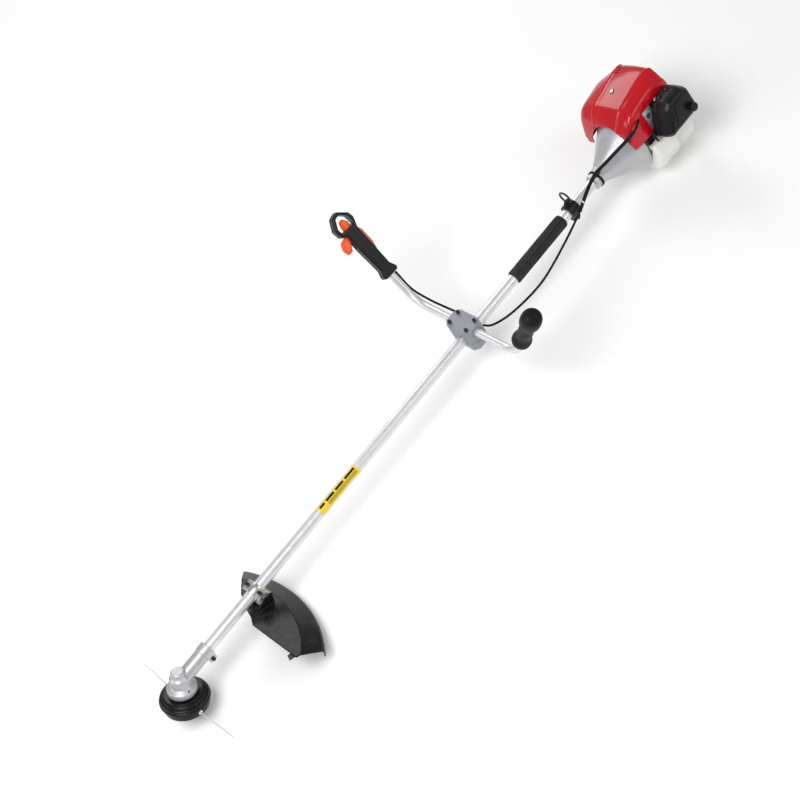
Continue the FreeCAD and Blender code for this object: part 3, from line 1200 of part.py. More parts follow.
def top_cover():
    """Red cover: sloping front, raised middle band between two ridges, and a cut for the clutch housing."""
    stages = [
        ("hood_front", "hood_left - 4", "hood_right - 8", "hood_ridge - 6", "62", "70"),
        ("hood_front + 40", "hood_left", "hood_right", "hood_ridge", "hood_top - 25", "hood_top - 19"),
        ("hood_front + 118", "hood_left", "hood_right", "hood_ridge", "hood_top - 16", "hood_top - 2"),
        ("hood_back", "hood_left - 6", "hood_right - 16", "hood_ridge + 4", "hood_top - 30", "hood_top")]
    body = new_body("top_cover")
    outside = [(station, hood_corners(left, right, ridge, "hood_base", shoulder, top, ""))
               for station, left, right, ridge, shoulder, top in stages]
    hood_loft(body, "PartDesign::AdditiveLoft", "Outside", outside)
    inside = []
    for number, (station, left, right, ridge, shoulder, top) in enumerate(stages):
        place_x = f"{station} + hood_wall" if number == 0 else station
        place_x = f"{station} + 1" if number == len(stages) - 1 else place_x
        inside.append((place_x, hood_corners(left, right, ridge, "hood_base - 1", shoulder, top, "hood_wall")))
    document.recompute()
    cut_volume(body, hood_loft(body, "PartDesign::SubtractiveLoft", "Inside", inside))
    arch = new_sketch(body, "HousingArch", "YZ_Plane", "hood_front - 5")
    circle(arch, "bell_end_dia + 4")
    cut_volume(body, extrude(body, arch, "bell_end - hood_front + 6", "PartDesign::Pocket", reverse=True))
    window = new_sketch(body, "IntakeWindow", "XZ_Plane", "hood_left + 10")
    outline(window, [("cleaner_front - 22", "hood_base + 6"), ("cleaner_front + 66", "hood_base + 6"),
                     ("cleaner_front + 66", "cleaner_top - 3"), ("cleaner_front - 22", "cleaner_top - 3")])
    cut_volume(body, extrude(body, window, "30", "PartDesign::Pocket"))
    on_engine(sub_part(body, "top_cover"))


def cover_screws():
    """Screws of the red cover and of the air cleaner."""
    shapes = []
    screw = Part.makeCylinder(4.5, 3).cut(Part.makeBox(7, 1.2, 1.2, V(-3.5, -0.6, 2)))
    top = screw.copy()
    top.rotate(V(), V(0, 1, 0), -size("hood_slope"))
    shapes.append(top.translated(V(size("hood_front + 84"), 8, size("hood_top - 9.2"))))
    on_case = V(size("cleaner_front + 52"), -size("cleaner_inner") - 9, size("cleaner_top") + 0.05)
    shapes.append(screw.translated(on_case))
    item = computed("cover_screw_pair", Part.makeCompound(shapes))
    on_engine(sub_part(item, "cover_screws"))


# ---------------------------------------------------------------- engine: intake, exhaust, fuel and starter

def cleaner_outline(front, shrink):
    """Side view of the air cleaner: leaning front edge, flat top, rounded foot."""
    s = f"({shrink})"
    return [
        (f"{front} + {s}", f"cleaner_foot + 22"), (f"{front} + 4 + {s}", f"cleaner_foot + {s}"),
        (f"cleaner_back - 52", f"cleaner_foot - 1 + {s}"), (f"cleaner_back - 20 - {s}", f"cleaner_foot + 14 + {s}"),
        (f"cleaner_back - {s}", "cleaner_top - 34"), (f"cleaner_back - 2 - {s}", f"cleaner_top - 8 - {s}"),
        (f"cleaner_back - 12 - {s}", f"cleaner_top - {s}"),
        (f"{front} + cleaner_lean + {s}", f"cleaner_top - {s}"), (f"{front} + cleaner_lean - 7 + {s}", "cleaner_top - 12")]


def cleaner_shell(label, near, far, front, far_front, far_shrink):
    """A tapered solid of the air cleaner between two planes, before it is hollowed."""
    body = new_body(label)
    first = new_sketch(body, "Near", "XZ_Plane", near)
    outline(first, cleaner_outline(front, "0"))
    second = new_sketch(body, "Far", "XZ_Plane", far)
    outline(second, cleaner_outline(far_front, far_shrink))
    loft = body.newObject("PartDesign::AdditiveLoft", "Outside")
    loft.Profile = first
    loft.Sections = [second]
    loft.Ruled = True
    return body


def air_cleaner():
    """Case on the carburettor, paper element, and the outer cover with its knob."""
    case = cleaner_shell("air_cleaner_case", "cleaner_inner", "cleaner_joint - fit_gap", "cleaner_front",
                         "cleaner_front", "0")
    room = new_sketch(case, "Room", "XZ_Plane", "cleaner_joint")
    outline(room, cleaner_outline("cleaner_front", "4"))
    cut_volume(case, extrude(case, room, "cleaner_joint - cleaner_inner - 4", "PartDesign::Pocket"))
    on_engine(sub_part(case, "air_cleaner_case"))

    cover = cleaner_shell("air_cleaner_cover", "cleaner_joint + fit_gap", "cleaner_outer", "cleaner_front",
                          "cleaner_front + 10", "7")
    inside = new_sketch(cover, "Inside", "XZ_Plane", "cleaner_joint")
    outline(inside, cleaner_outline("cleaner_front + 6", "8"))
    cut_volume(cover, extrude(cover, inside, "cleaner_outer - cleaner_joint - 5", "PartDesign::Pocket", reverse=True))
    stud = new_sketch(cover, "KnobHole", "XZ_Plane", "cleaner_outer - 12")
    circle(stud, "8.2", "cleaner_back - 26", "cleaner_foot + 28")
    cut_volume(cover, extrude(cover, stud, "20", "PartDesign::Pocket", reverse=True))
    on_engine(sub_part(cover, "air_cleaner_cover"))

    element = document.addObject("Part::Box", "filter_block")
    for field, formula in (("Length", "50"), ("Width", "18"), ("Height", "44")):
        bind(element, field, formula)
    on_engine(sub_part(element, "air_filter"), "cleaner_front + 43", "-cleaner_joint - 6", "cleaner_foot + 25")

    knob = turned("air_cleaner_knob", [
        ("0", "-9"), ("4", "-9"), ("4", "0.1"), ("11", "0.1"), ("12", "2"), ("11", "12"), ("8", "14"), ("0", "14")])
    on_engine(knob, "cleaner_back - 26", "-cleaner_outer - 0.1", "cleaner_foot + 28", Rotation(V(1, 0, 0), 90))


def carburettor():
    """Body between cylinder and air cleaner, with a fuel bowl and a cross bore for its two levers' shafts."""
    middle = size("(case_front + case_back) / 2")
    inner, outer = -size("fin_size / 2 + 1"), -size("cleaner_inner") + 0.5
    bore_height = size("bore_height")
    length = inner - outer
    barrel = Part.makeCylinder(13, length, V(middle, inner, bore_height), V(0, -1, 0))
    bowl = Part.makeBox(30, length - 12, 26, V(middle - 15, outer + 6, bore_height - 36))
    top = Part.makeBox(34, length - 10, 12, V(middle - 17, outer + 5, bore_height + 6))
    shape = barrel.fuse([bowl, top])
    shape = shape.cut(Part.makeCylinder(8, length + 2, V(middle, inner + 1, bore_height), V(0, -1, 0)))
    shape = shape.cut(Part.makeCylinder(2.1, 60, V(middle, (inner + outer) / 2, bore_height - 4)))
    socket = Part.makeCylinder(9.6, 7, V(middle, -size("bulb_reach"), bore_height - 37))
    shape = shape.cut(socket)
    item = computed("carburettor_solid", shape.removeSplitter())
    on_engine(sub_part(item, "carburettor"))


def throttle_lever():
    """Arm on the carburettor's throttle shaft, pulled by the cable."""
    middle = size("(case_front + case_back) / 2")
    along = -(size("fin_size / 2 + 1") + size("cleaner_inner") - 0.5) / 2
    level = size("bore_height") + 18.2
    shaft = Part.makeCylinder(2, 22, V(middle, along, level - 20))
    arm = Part.makeBox(24, 8, 2.5, V(middle - 20, along - 4, level))
    cap = Part.makeCylinder(5, 4, V(middle, along, level))
    item = computed("throttle_arm", shaft.fuse([arm, cap]).removeSplitter())
    on_engine(sub_part(item, "throttle_lever"))


def choke_lever():
    """Flat lever that hangs in front of the air cleaner case on a short pin."""
    body = new_body("choke_lever")
    plate = new_sketch(body, "Plate")
    outline(plate, [("-5", "-5"), ("5", "-5"), ("5", "6"), ("3", "30"), ("-3", "30"), ("-5", "6")])
    extrude(body, plate, "3")
    round_edges(body, 1.2, runs_along(V(0, 0, 1)))
    pin = new_sketch(body, "Pin")
    circle(pin, "4")
    extrude(body, pin, "3", reverse=True)
    hang = Rotation(V(0, 1, 0), V(0, 0, -1), V(-1, 0, 0), "ZXY")
    on_engine(sub_part(body, "choke_lever"), "cleaner_front - 1", "-cleaner_inner - 8", "cleaner_foot + 32", hang)


def muffler():
    """Pressed steel silencer on the cylinder's right side with its outlet pipe."""
    body = box_body("muffler", ("case_front + 6", "case_back - 8"), ("fin_size / 2 + 18", "hood_right - hood_wall - 6"),
                    ("36", "78"))
    round_edges(body, 8, runs_along(V(0, 0, 1)))
    outlet = new_sketch(body, "Outlet", "XY_Plane", "22")
    circle(outlet, "16", "case_front + 24", "hood_right - 30")
    extrude(body, outlet, "16")
    hole = new_sketch(body, "OutletHole", "XY_Plane", "20")
    circle(hole, "12", "case_front + 24", "hood_right - 30")
    cut_volume(body, extrude(body, hole, "22", "PartDesign::Pocket", reverse=True))
    on_engine(sub_part(body, "muffler"))


def fuel_tank():
    """Translucent tank under the crankcase that rises beside it on the left."""
    body = new_body("fuel_tank")
    profile = new_sketch(body, "Outside", "YZ_Plane", "tank_front")
    outline(profile, [
        ("-tank_left", "tank_shoulder"), ("-tank_left", "tank_base + 40"), ("-tank_left + 14", "tank_base + 14"),
        ("-tank_left + 40", "tank_base"), ("tank_right - 14", "tank_base"), ("tank_right", "tank_base + 14"),
        ("tank_right", "tank_top"), ("-case_half_width - 4", "tank_top"), ("-case_half_width - 4", "tank_shoulder")])
    extrude(body, profile, "tank_back - tank_front")
    round_edges(body, 7, runs_along(V(1, 0, 0)))
    hollow = new_sketch(body, "Inside", "YZ_Plane", "tank_front + tank_wall")
    w = "tank_wall"
    outline(hollow, [
        (f"-tank_left + {w}", f"tank_shoulder - {w} - 7"), (f"-tank_left + {w}", f"tank_base + 42"),
        (f"-tank_left + 15 + {w}", f"tank_base + 16"), (f"-tank_left + 42", f"tank_base + {w}"),
        ("tank_right - 18", f"tank_base + {w}"), (f"tank_right - {w} - 1", "tank_base + 18"),
        (f"tank_right - {w} - 1", f"tank_top - {w} - 1"), (f"-case_half_width - 4 - {w}", f"tank_top - {w} - 1"),
        (f"-case_half_width - 4 - {w} - 4", f"tank_shoulder - {w}"), (f"-tank_left + {w} + 7", f"tank_shoulder - {w}")])
    cut_volume(body, extrude(body, hollow, f"tank_back - tank_front - 2 * {w}", "PartDesign::Pocket", reverse=True))
    neck = new_sketch(body, "Neck", "YZ_Plane", "tank_back - 3")
    circle(neck, "26", "-filler_side", "tank_base + filler_rise")
    extrude(body, neck, "7")
    mouth = new_sketch(body, "Mouth", "YZ_Plane", "tank_back - 8")
    circle(mouth, "18", "-filler_side", "tank_base + filler_rise")
    cut_volume(body, extrude(body, mouth, "20", "PartDesign::Pocket", reverse=True))
    on_engine(sub_part(body, "fuel_tank"))


def fuel_cap():
    """Ribbed screw cap on the tank's neck."""
    body = new_body("fuel_cap")
    revolve(body, [("0", "0.2"), ("16", "0.2"), ("17", "1.5"), ("17", "12"), ("15", "14"), ("0", "14")])
    flute = new_sketch(body, "Flute", "XY_Plane", "-1")
    circle(flute, "3", "17.6", 0)
    one = extrude(body, flute, "20", "PartDesign::Pocket", reverse=True)
    document.recompute()
    ring = body.newObject("PartDesign::PolarPattern", "Flutes")
    ring.Originals = [one]
    ring.Axis = (origin_item(body, "Z_Axis"), [""])
    ring.Angle = 360
    ring.Occurrences = 16
    body.Tip = ring
    on_engine(sub_part(body, "fuel_cap"), "tank_back + 4", "-filler_side", "tank_base + filler_rise", ALONG_X)


def primer_bulb():
    """Rubber bulb under the carburettor, pressed to prime it."""
    item = turned("primer_bulb", [
        ("0", "0"), ("9", "0"), ("9", "1.5"), ("7", "2"), ("6.5", "6"), ("4.5", "9"), ("0", "10")])
    on_engine(item, "(case_front + case_back) / 2", "-bulb_reach", "bore_height - 34.5", Rotation(V(1, 0, 0), 180))


def recoil_starter():
    """Rear cover, the rope pulley inside it and the pull handle on the right."""
    cover = new_body("recoil_cover")
    revolve(cover, [
        ("recoil_dia / 2", "recoil_front"), ("recoil_dia / 2", "recoil_back - 16"),
        ("recoil_dia / 2 - 6", "recoil_back - 4"), ("recoil_dia / 2 - 12", "recoil_back"), ("0", "recoil_back"),
        ("0", "recoil_back - 3"), ("recoil_dia / 2 - 13", "recoil_back - 3"),
        ("recoil_dia / 2 - 9", "recoil_back - 7"), ("recoil_dia / 2 - 3", "recoil_back - 17"),
        ("recoil_dia / 2 - 3", "recoil_front")])
    vents = new_sketch(cover, "Vent", "XY_Plane", "recoil_back - 10")
    outline(vents, [("16", "-2"), ("40", "-2"), ("40", "2"), ("16", "2")])
    one = extrude(cover, vents, "20", "PartDesign::Pocket", reverse=True)
    document.recompute()
    ring = cover.newObject("PartDesign::PolarPattern", "Vents")
    ring.Originals = [one]
    ring.Axis = (origin_item(cover, "Z_Axis"), [""])
    ring.Angle = 360
    ring.Occurrences = 12
    cover.Tip = ring
    port = new_sketch(cover, "RopePort", "XZ_Plane", "0")
    circle(port, "9", "30", "recoil_front + 20")
    cut_volume(cover, extrude(cover, port, "recoil_dia", "PartDesign::Pocket", reverse=False))
    on_engine(sub_part(cover, "recoil_cover"), turn=ALONG_X)

    pulley = turned("recoil_pulley", [
        ("5", "recoil_front + 8"), ("42", "recoil_front + 8"), ("42", "recoil_front + 11"),
        ("29", "recoil_front + 14"), ("29", "recoil_front + 26"), ("42", "recoil_front + 29"),
        ("42", "recoil_front + 32"), ("5", "recoil_front + 32")])
    on_engine(pulley, turn=ALONG_X)


def recoil_handle():
    """Pull grip with the first length of rope."""
    body = new_body("recoil_handle")
    revolve(body, [("0", "-10"), ("1.8", "-10"), ("1.8", "0"), ("6", "0"), ("8", "2"), ("8", "10"), ("13", "14"),
                   ("13", "24"), ("9", "28"), ("0", "28")])
    on_engine(sub_part(body, "recoil_handle"), "recoil_front + 20", "recoil_dia / 2 + 0.3", "-30",
              Rotation(V(1, 0, 0), -90))


def oil_cap():
    """Oil filler plug low on the crankcase's right side."""
    item = turned("oil_cap", [("0", "0.1"), ("11", "0.1"), ("11", "5"), ("9", "6"), ("3", "6"), ("3", "14"), ("0", "14")])
    on_engine(item, "case_back - 18", "case_half_width", "-24", Rotation(V(1, 0, 0), -90))


# ---------------------------------------------------------------- build, check and write

for build in (gearcase, bearings, bevel_gears, output_shaft, head_housing, head_base, spool,
              spool_spring, bump_knob, line_eyelets, nylon_line, guard_shell, guard_bracket,
              line_cutter, tube_and_shaft, handle_clamp, clamp_screws, handlebar, left_grip, throttle_grip,
              throttle_controls,
              throttle_cable, foam_grip, harness_hanger, clutch_housing, clutch_band, clutch_drum, clutch_shoes,
              flywheel, crankshaft, crankcase, cylinder, piston, spark_plug, top_cover, cover_screws, air_cleaner,
              carburettor, throttle_lever, choke_lever, muffler, fuel_tank, fuel_cap, primer_bulb, recoil_starter,
              recoil_handle, oil_cap):
    build()
document.recompute()

broken = [item.Label for item in document.Objects if "Invalid" in item.State or "Error" in item.State]
for item in SUB_PARTS:
    if item.Shape.isNull() or not item.Shape.isValid() or not item.Shape.Solids:
        broken.append(item.Label)
if broken:
    raise RuntimeError("did not build: " + ", ".join(broken))

os.makedirs("parts", exist_ok=True)
for item in SUB_PARTS:
    item.Shape.exportStep(os.path.join("parts", item.Label + ".step"))
print(len(SUB_PARTS), "sub-parts written")
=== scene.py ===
"""Looks of the brush cutter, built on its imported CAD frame.

The pieces are written in millimetres and turned into metres with MM; the materials' grain, the lamps and the
camera are in metres. The machine frame is +X along the main tube from head to engine, +Y to the operator's
right and +Z up, with the origin where the cutting spindle's axis crosses the tube's axis.
"""

import json
import math

import bmesh
import bpy
from mathutils import Matrix, Vector


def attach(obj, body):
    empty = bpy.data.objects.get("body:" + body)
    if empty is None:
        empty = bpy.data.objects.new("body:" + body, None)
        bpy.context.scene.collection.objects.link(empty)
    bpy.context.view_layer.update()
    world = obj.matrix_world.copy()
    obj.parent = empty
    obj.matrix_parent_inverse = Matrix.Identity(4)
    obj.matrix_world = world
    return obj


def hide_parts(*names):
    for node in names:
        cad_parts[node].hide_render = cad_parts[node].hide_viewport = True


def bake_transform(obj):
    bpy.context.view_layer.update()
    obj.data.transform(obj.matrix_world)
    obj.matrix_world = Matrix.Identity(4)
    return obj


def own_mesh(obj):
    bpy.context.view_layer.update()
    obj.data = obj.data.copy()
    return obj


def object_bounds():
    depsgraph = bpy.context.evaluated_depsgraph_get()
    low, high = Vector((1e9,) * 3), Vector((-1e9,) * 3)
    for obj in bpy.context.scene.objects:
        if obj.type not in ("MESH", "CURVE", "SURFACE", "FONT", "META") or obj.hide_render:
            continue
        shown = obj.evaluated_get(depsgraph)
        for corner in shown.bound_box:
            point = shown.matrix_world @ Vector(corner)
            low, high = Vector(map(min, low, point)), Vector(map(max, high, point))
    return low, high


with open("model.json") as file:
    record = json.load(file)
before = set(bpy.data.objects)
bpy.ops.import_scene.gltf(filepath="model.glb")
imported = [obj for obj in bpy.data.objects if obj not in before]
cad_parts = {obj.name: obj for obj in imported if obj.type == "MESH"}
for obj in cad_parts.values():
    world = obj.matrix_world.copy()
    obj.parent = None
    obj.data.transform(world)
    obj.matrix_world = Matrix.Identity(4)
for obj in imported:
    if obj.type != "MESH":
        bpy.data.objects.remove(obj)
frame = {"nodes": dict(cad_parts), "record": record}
cad_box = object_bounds()
nodes = frame["nodes"]
MM = 0.001

# ---------------------------------------------------------------- frames of the machine's parts

ENGINE_FRONT = 1562 * MM
ENGINE = Matrix.Translation((ENGINE_FRONT, 0, 0)) @ Matrix.Rotation(math.radians(-15), 4, "X")
SPINDLE = Matrix.Rotation(math.radians(22), 4, "Y")
ALONG_TUBE = Matrix.Rotation(math.radians(90), 4, "Y")
BEND_ALONG, BEND_ASIDE, BEND_UP = 1070 * MM, 171.5 * MM, 27 * MM
BAR_BEND = math.radians(55.9)
BAR_LEAN = Matrix.Rotation(math.radians(3.2), 4, "Y")


def arm_frame(side):
    """An arm of the handlebar: origin at the bend's corner, +Z outward along the arm, +X towards the head."""
    along = BAR_LEAN @ Vector((0, side * math.cos(BAR_BEND), math.sin(BAR_BEND)))
    forward = BAR_LEAN @ Vector((-1, 0, 0))
    turn = Matrix((forward, along.cross(forward), along)).transposed().to_4x4()
    return Matrix.Translation((BEND_ALONG, side * BEND_ASIDE, BEND_UP)) @ turn


LEFT_ARM, RIGHT_ARM = arm_frame(-1), arm_frame(1)

# ---------------------------------------------------------------- material graphs


class Graph:
    """A material's node tree with short calls for the nodes used here."""

    def __init__(self, name):
        self.material = bpy.data.materials.new(name)
        self.material.use_nodes = True
        self.tree = self.material.node_tree
        self.shader = self.tree.nodes["Principled BSDF"]
        self.place = self.add("ShaderNodeTexCoord").outputs["Object"]

    def add(self, kind, **settings):
        node = self.tree.nodes.new(kind)
        for key, value in settings.items():
            setattr(node, key, value)
        return node

    def feed(self, socket, value):
        """Gives a socket a number, a colour or another node's output."""
        if isinstance(value, bpy.types.NodeSocket):
            self.tree.links.new(value, socket)
        else:
            socket.default_value = value

    def math(self, operation, a, b, clamp=False):
        node = self.add("ShaderNodeMath", operation=operation, use_clamp=clamp)
        self.feed(node.inputs[0], a)
        self.feed(node.inputs[1], b)
        return node.outputs[0]

    def stretched(self, scale):
        mapping = self.add("ShaderNodeMapping")
        self.feed(mapping.inputs["Vector"], self.place)
        mapping.inputs["Scale"].default_value = scale
        return mapping.outputs["Vector"]

    def noise(self, feature, detail=3.0, stretch=(1, 1, 1)):
        """Noise whose features are about this many metres across."""
        node = self.add("ShaderNodeTexNoise")
        self.feed(node.inputs["Vector"], self.stretched(stretch))
        node.inputs["Scale"].default_value = 1 / feature
        node.inputs["Detail"].default_value = detail
        return node.outputs["Fac"]

    def cells(self, feature):
        node = self.add("ShaderNodeTexVoronoi")
        self.feed(node.inputs["Vector"], self.place)
        node.inputs["Scale"].default_value = 1 / feature
        return node.outputs["Distance"]

    def span(self, value, low, high, start=0.0, end=1.0):
        """Stretches a range of a value onto another range, clamped."""
        node = self.add("ShaderNodeMapRange")
        for socket, number in zip(node.inputs, (value, low, high, start, end)):
            self.feed(socket, number)
        return node.outputs[0]

    def blend(self, factor, first, second):
        node = self.add("ShaderNodeMix", data_type="RGBA")
        self.feed(node.inputs["Factor"], factor)
        self.feed(node.inputs["A"], first)
        self.feed(node.inputs["B"], second)
        return node.outputs["Result"]

    def edges(self, radius):
        """1 near the piece's sharp edges and 0 elsewhere, and the rounded normal itself."""
        rounded = self.add("ShaderNodeBevel", samples=4)
        rounded.inputs["Radius"].default_value = radius
        plain = self.add("ShaderNodeNewGeometry").outputs["Normal"]
        dot = self.add("ShaderNodeVectorMath", operation="DOT_PRODUCT")
        self.feed(dot.inputs[0], rounded.outputs[0])
        self.feed(dot.inputs[1], plain)
        return self.span(dot.outputs["Value"], 0.995, 0.86), rounded.outputs[0]

    def bump(self, height, depth, normal=None):
        node = self.add("ShaderNodeBump")
        node.inputs["Distance"].default_value = depth
        node.inputs["Strength"].default_value = 1.0
        self.feed(node.inputs["Height"], height)
        if normal:
            self.feed(node.inputs["Normal"], normal)
        return node.outputs["Normal"]

    def set(self, **inputs):
        for key, value in inputs.items():
            self.feed(self.shader.inputs[key.replace("_", " ")], value)


def shade(colour, factor):
    return tuple(min(1.0, channel * factor) for channel in colour[:3]) + (1.0,)


def surface(name, colour, rough, metal=0.0, coat=0.0, grain=0.0015, depth=0.00004, stretch=(1, 1, 1),
            uneven=0.12, worn=None, wear=0.0, dust=0.0, dust_colour=(0.55, 0.5, 0.42, 1), corner=0.0006,
            shine=0.5):
    """A finish with slow colour drift, fine grain, uneven gloss, rubbed edges and a little dust."""
    g = Graph(name)
    colour = tuple(colour[:3]) + (1.0,)
    slow = g.noise(0.07, 4.0)
    tint = g.blend(g.span(slow, 0.3, 0.7), shade(colour, 1 - uneven), shade(colour, 1 + uneven))
    edge, rounded = g.edges(corner) if corner else (0.0, None)
    patches = g.noise(0.012, 5.0)
    if wear:
        rubbed = g.math("MULTIPLY", edge, g.span(patches, 0.42, 0.62), clamp=True)
        tint = g.blend(g.math("MULTIPLY", rubbed, wear), tint, tuple(worn[:3]) + (1.0,))
    if dust:
        film = g.span(g.noise(0.035, 6.0), 0.5, 0.75, 0.0, dust)
        tint = g.blend(film, tint, dust_colour)
    fine = g.noise(grain, 3.0, stretch)
    streaks = g.span(g.noise(0.004, 4.0, stretch), 0.3, 0.7, -0.5, 0.5)
    gloss = g.math("ADD", g.span(patches, 0.25, 0.75, rough * 0.78, rough * 1.25),
                   g.math("MULTIPLY", streaks, rough * 0.18), clamp=True)
    g.set(Base_Color=tint, Metallic=metal, Roughness=gloss, Coat_Weight=coat, Coat_Roughness=0.06,
          Specular_IOR_Level=shine, Normal=g.bump(fine, depth, rounded))
    return g


def build_materials():
    """One material for each slot of the record, and one for the label, which only Blender has."""
    for imported in list(bpy.data.materials):
        bpy.data.materials.remove(imported)
    made = {}

    def keep(graph):
        made[graph.material.name] = graph.material
        return graph

    keep(surface("tube_silver", (0.76, 0.76, 0.78), 0.34, metal=0.6, grain=0.0006, depth=0.000004,
                 stretch=(0.03, 1, 1), uneven=0.04, corner=0.0))
    keep(surface("cast_silver", (0.52, 0.52, 0.54), 0.42, metal=0.7, grain=0.0011, depth=0.00016,
                 uneven=0.1, worn=(0.85, 0.85, 0.86), wear=0.6, dust=0.12))
    keep(surface("clamp_grey", (0.27, 0.28, 0.31), 0.46, metal=0.45, grain=0.0009, depth=0.00012,
                 uneven=0.12, worn=(0.6, 0.6, 0.62), wear=0.6))
    keep(surface("steel", (0.58, 0.58, 0.60), 0.28, metal=1.0, grain=0.0005, depth=0.00001, uneven=0.08,
                 worn=(0.4, 0.33, 0.27), wear=0.3))
    keep(surface("black_oxide", (0.035, 0.035, 0.04), 0.38, metal=0.6, grain=0.0004, depth=0.00001,
                 worn=(0.4, 0.4, 0.4), wear=0.7))
    keep(surface("zinc", (0.74, 0.73, 0.69), 0.25, metal=1.0, grain=0.0007, depth=0.000008, uneven=0.08,
                 corner=0.0))
    keep(surface("black_gloss", (0.006, 0.006, 0.008), 0.26, coat=0.05, grain=0.0016, depth=0.00003,
                 uneven=0.3, worn=(0.08, 0.08, 0.09), wear=0.5, dust=0.02, shine=0.2))
    keep(surface("black_matte", (0.007, 0.007, 0.009), 0.38, grain=0.0007, depth=0.00005, uneven=0.3,
                 worn=(0.09, 0.09, 0.1), wear=0.4, dust=0.012, shine=0.25))
    keep(surface("orange", (0.84, 0.085, 0.005), 0.30, coat=0.2, grain=0.0012, depth=0.00002, uneven=0.08,
                 worn=(1.0, 0.4, 0.2), wear=0.4))
    keep(surface("red", (0.50, 0.0015, 0.009), 0.2, coat=0.25, grain=0.0024, depth=0.00002, uneven=0.1,
                 worn=(0.85, 0.2, 0.2), wear=0.35, corner=0.0008, shine=0.35))
    keep(surface("rubber", (0.007, 0.007, 0.008), 0.50, grain=0.0006, depth=0.00006, uneven=0.3,
                 worn=(0.05, 0.05, 0.05), wear=0.3, dust=0.015, shine=0.14))
    keep(surface("nylon", (0.62, 0.62, 0.60), 0.30, grain=0.002, depth=0.00003, uneven=0.08))
    keep(surface("iron", (0.25, 0.25, 0.26), 0.55, metal=0.8, grain=0.001, depth=0.0001, uneven=0.15))
    foam = keep(surface("foam", (0.008, 0.008, 0.009), 0.58, grain=0.0006, depth=0.0003, uneven=0.35,
                        dust=0.02, shine=0.5))
    pores = foam.span(foam.cells(0.0009), 0.1, 0.6)
    foam.set(Normal=foam.bump(pores, 0.00025))
    tank = keep(surface("tank_white", (0.80, 0.80, 0.76), 0.34, grain=0.002, depth=0.00005, uneven=0.04,
                        dust=0.1, corner=0.001))
    tank.set(Subsurface_Weight=0.55, Subsurface_Radius=(0.02, 0.018, 0.012), Subsurface_Scale=0.6)
    paper = keep(surface("paper", (0.78, 0.70, 0.50), 0.85, grain=0.0008, depth=0.0001, uneven=0.1))
    pleats = paper.add("ShaderNodeTexWave")
    pleats.inputs["Scale"].default_value = 80
    paper.feed(pleats.inputs["Vector"], paper.place)
    paper.set(Normal=paper.bump(pleats.outputs["Fac"], 0.0008))
    keep(surface("label_yellow", (0.86, 0.62, 0.02), 0.35, coat=0.3, grain=0.001, depth=0.00002, uneven=0.06,
                 dust=0.06))
    return made


materials = build_materials()


def paint(node, slot):
    nodes[node].data.materials.clear()
    nodes[node].data.materials.append(materials[slot])


def paint_nodes():
    """CAD nodes take the materials of their slots in the record, but the line cutter's blade is blackened."""
    for part in frame["record"]["subparts"]:
        paint(part["node"], part["material_slot"])
    paint("line_cutter", "black_oxide")


def modifier(item, kind, name, **settings):
    made = item.modifiers.new(name, kind)
    for key, value in settings.items():
        setattr(made, key, value)
    return made


def soften(names, voxel, rounds):
    """Cast and moulded pieces lose their machined edges: a fine remesh that is then smoothed."""
    for name in names:
        item = nodes[name]
        modifier(item, "REMESH", "Grain", mode="VOXEL", voxel_size=voxel * MM, use_smooth_shade=True)
        modifier(item, "SMOOTH", "Fillet", factor=0.5, iterations=rounds)


def chamfer(names, width):
    """Turned and pressed pieces get small rounded edges."""
    for name in names:
        item = nodes[name]
        modifier(item, "WELD", "Join", merge_threshold=0.000005)
        modifier(item, "BEVEL", "Break", width=width * MM, segments=2, limit_method="ANGLE",
                 angle_limit=math.radians(40), harden_normals=False)


# ---------------------------------------------------------------- mesh helpers

def add_object(name, data):
    item = bpy.data.objects.new(name, data)
    bpy.context.scene.collection.objects.link(item)
    return item


def outward_mesh(name, vertices, faces, matrix):
    """A mesh from points in metres, with its faces turned outward, moved by a matrix unless that is None."""
    mesh = bpy.data.meshes.new(name)
    mesh.from_pydata([tuple(point) for point in vertices], [], faces)
    work = bmesh.new()
    work.from_mesh(mesh)
    bmesh.ops.recalc_face_normals(work, faces=work.faces)
    work.to_mesh(mesh)
    work.free()
    if matrix:
        mesh.transform(matrix)
    return mesh


def piece(name, vertices, faces, slot, body="frame", matrix=None, stands_for=()):
    """A new visible piece, moved into the machine frame and riding on a body unless that is None."""
    mesh = outward_mesh(name, vertices, faces, matrix)
    for polygon in mesh.polygons:
        polygon.use_smooth = True
    mesh.materials.append(materials[slot])
    item = add_object(name, mesh)
    if body:
        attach(item, body)
    if stands_for:
        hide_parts(*stands_for)
    return item


def rings_to_faces(count, size, closed=False):
    """Quads between rings of the same size; caps at both ends unless the rings close on themselves."""
    faces = []
    for i in range(count if closed else count - 1):
        here, there = i * size, ((i + 1) % count) * size
        for j in range(size):
            k = (j + 1) % size
            faces.append((here + j, here + k, there + k, there + j))
    if not closed:
        faces.append(tuple(reversed(range(size))))
        faces.append(tuple(range((count - 1) * size, count * size)))
    return faces


def ring(radius, height, segments):
    """Points of a circle about Z."""
    angles = [2 * math.pi * j / segments for j in range(segments)]
    return [Vector((radius * math.cos(angle), radius * math.sin(angle), height)) for angle in angles]


def lathe(name, profile, slot, matrix, segments=72, closed=False, **keys):
    """Turns (radius, height) points in millimetres about Z."""
    vertices = []
    for radius, height in profile:
        vertices += [point * MM for point in ring(radius, height, segments)]
    faces = rings_to_faces(len(profile), segments, closed)
    return piece(name, vertices, faces, slot, matrix=matrix, **keys)


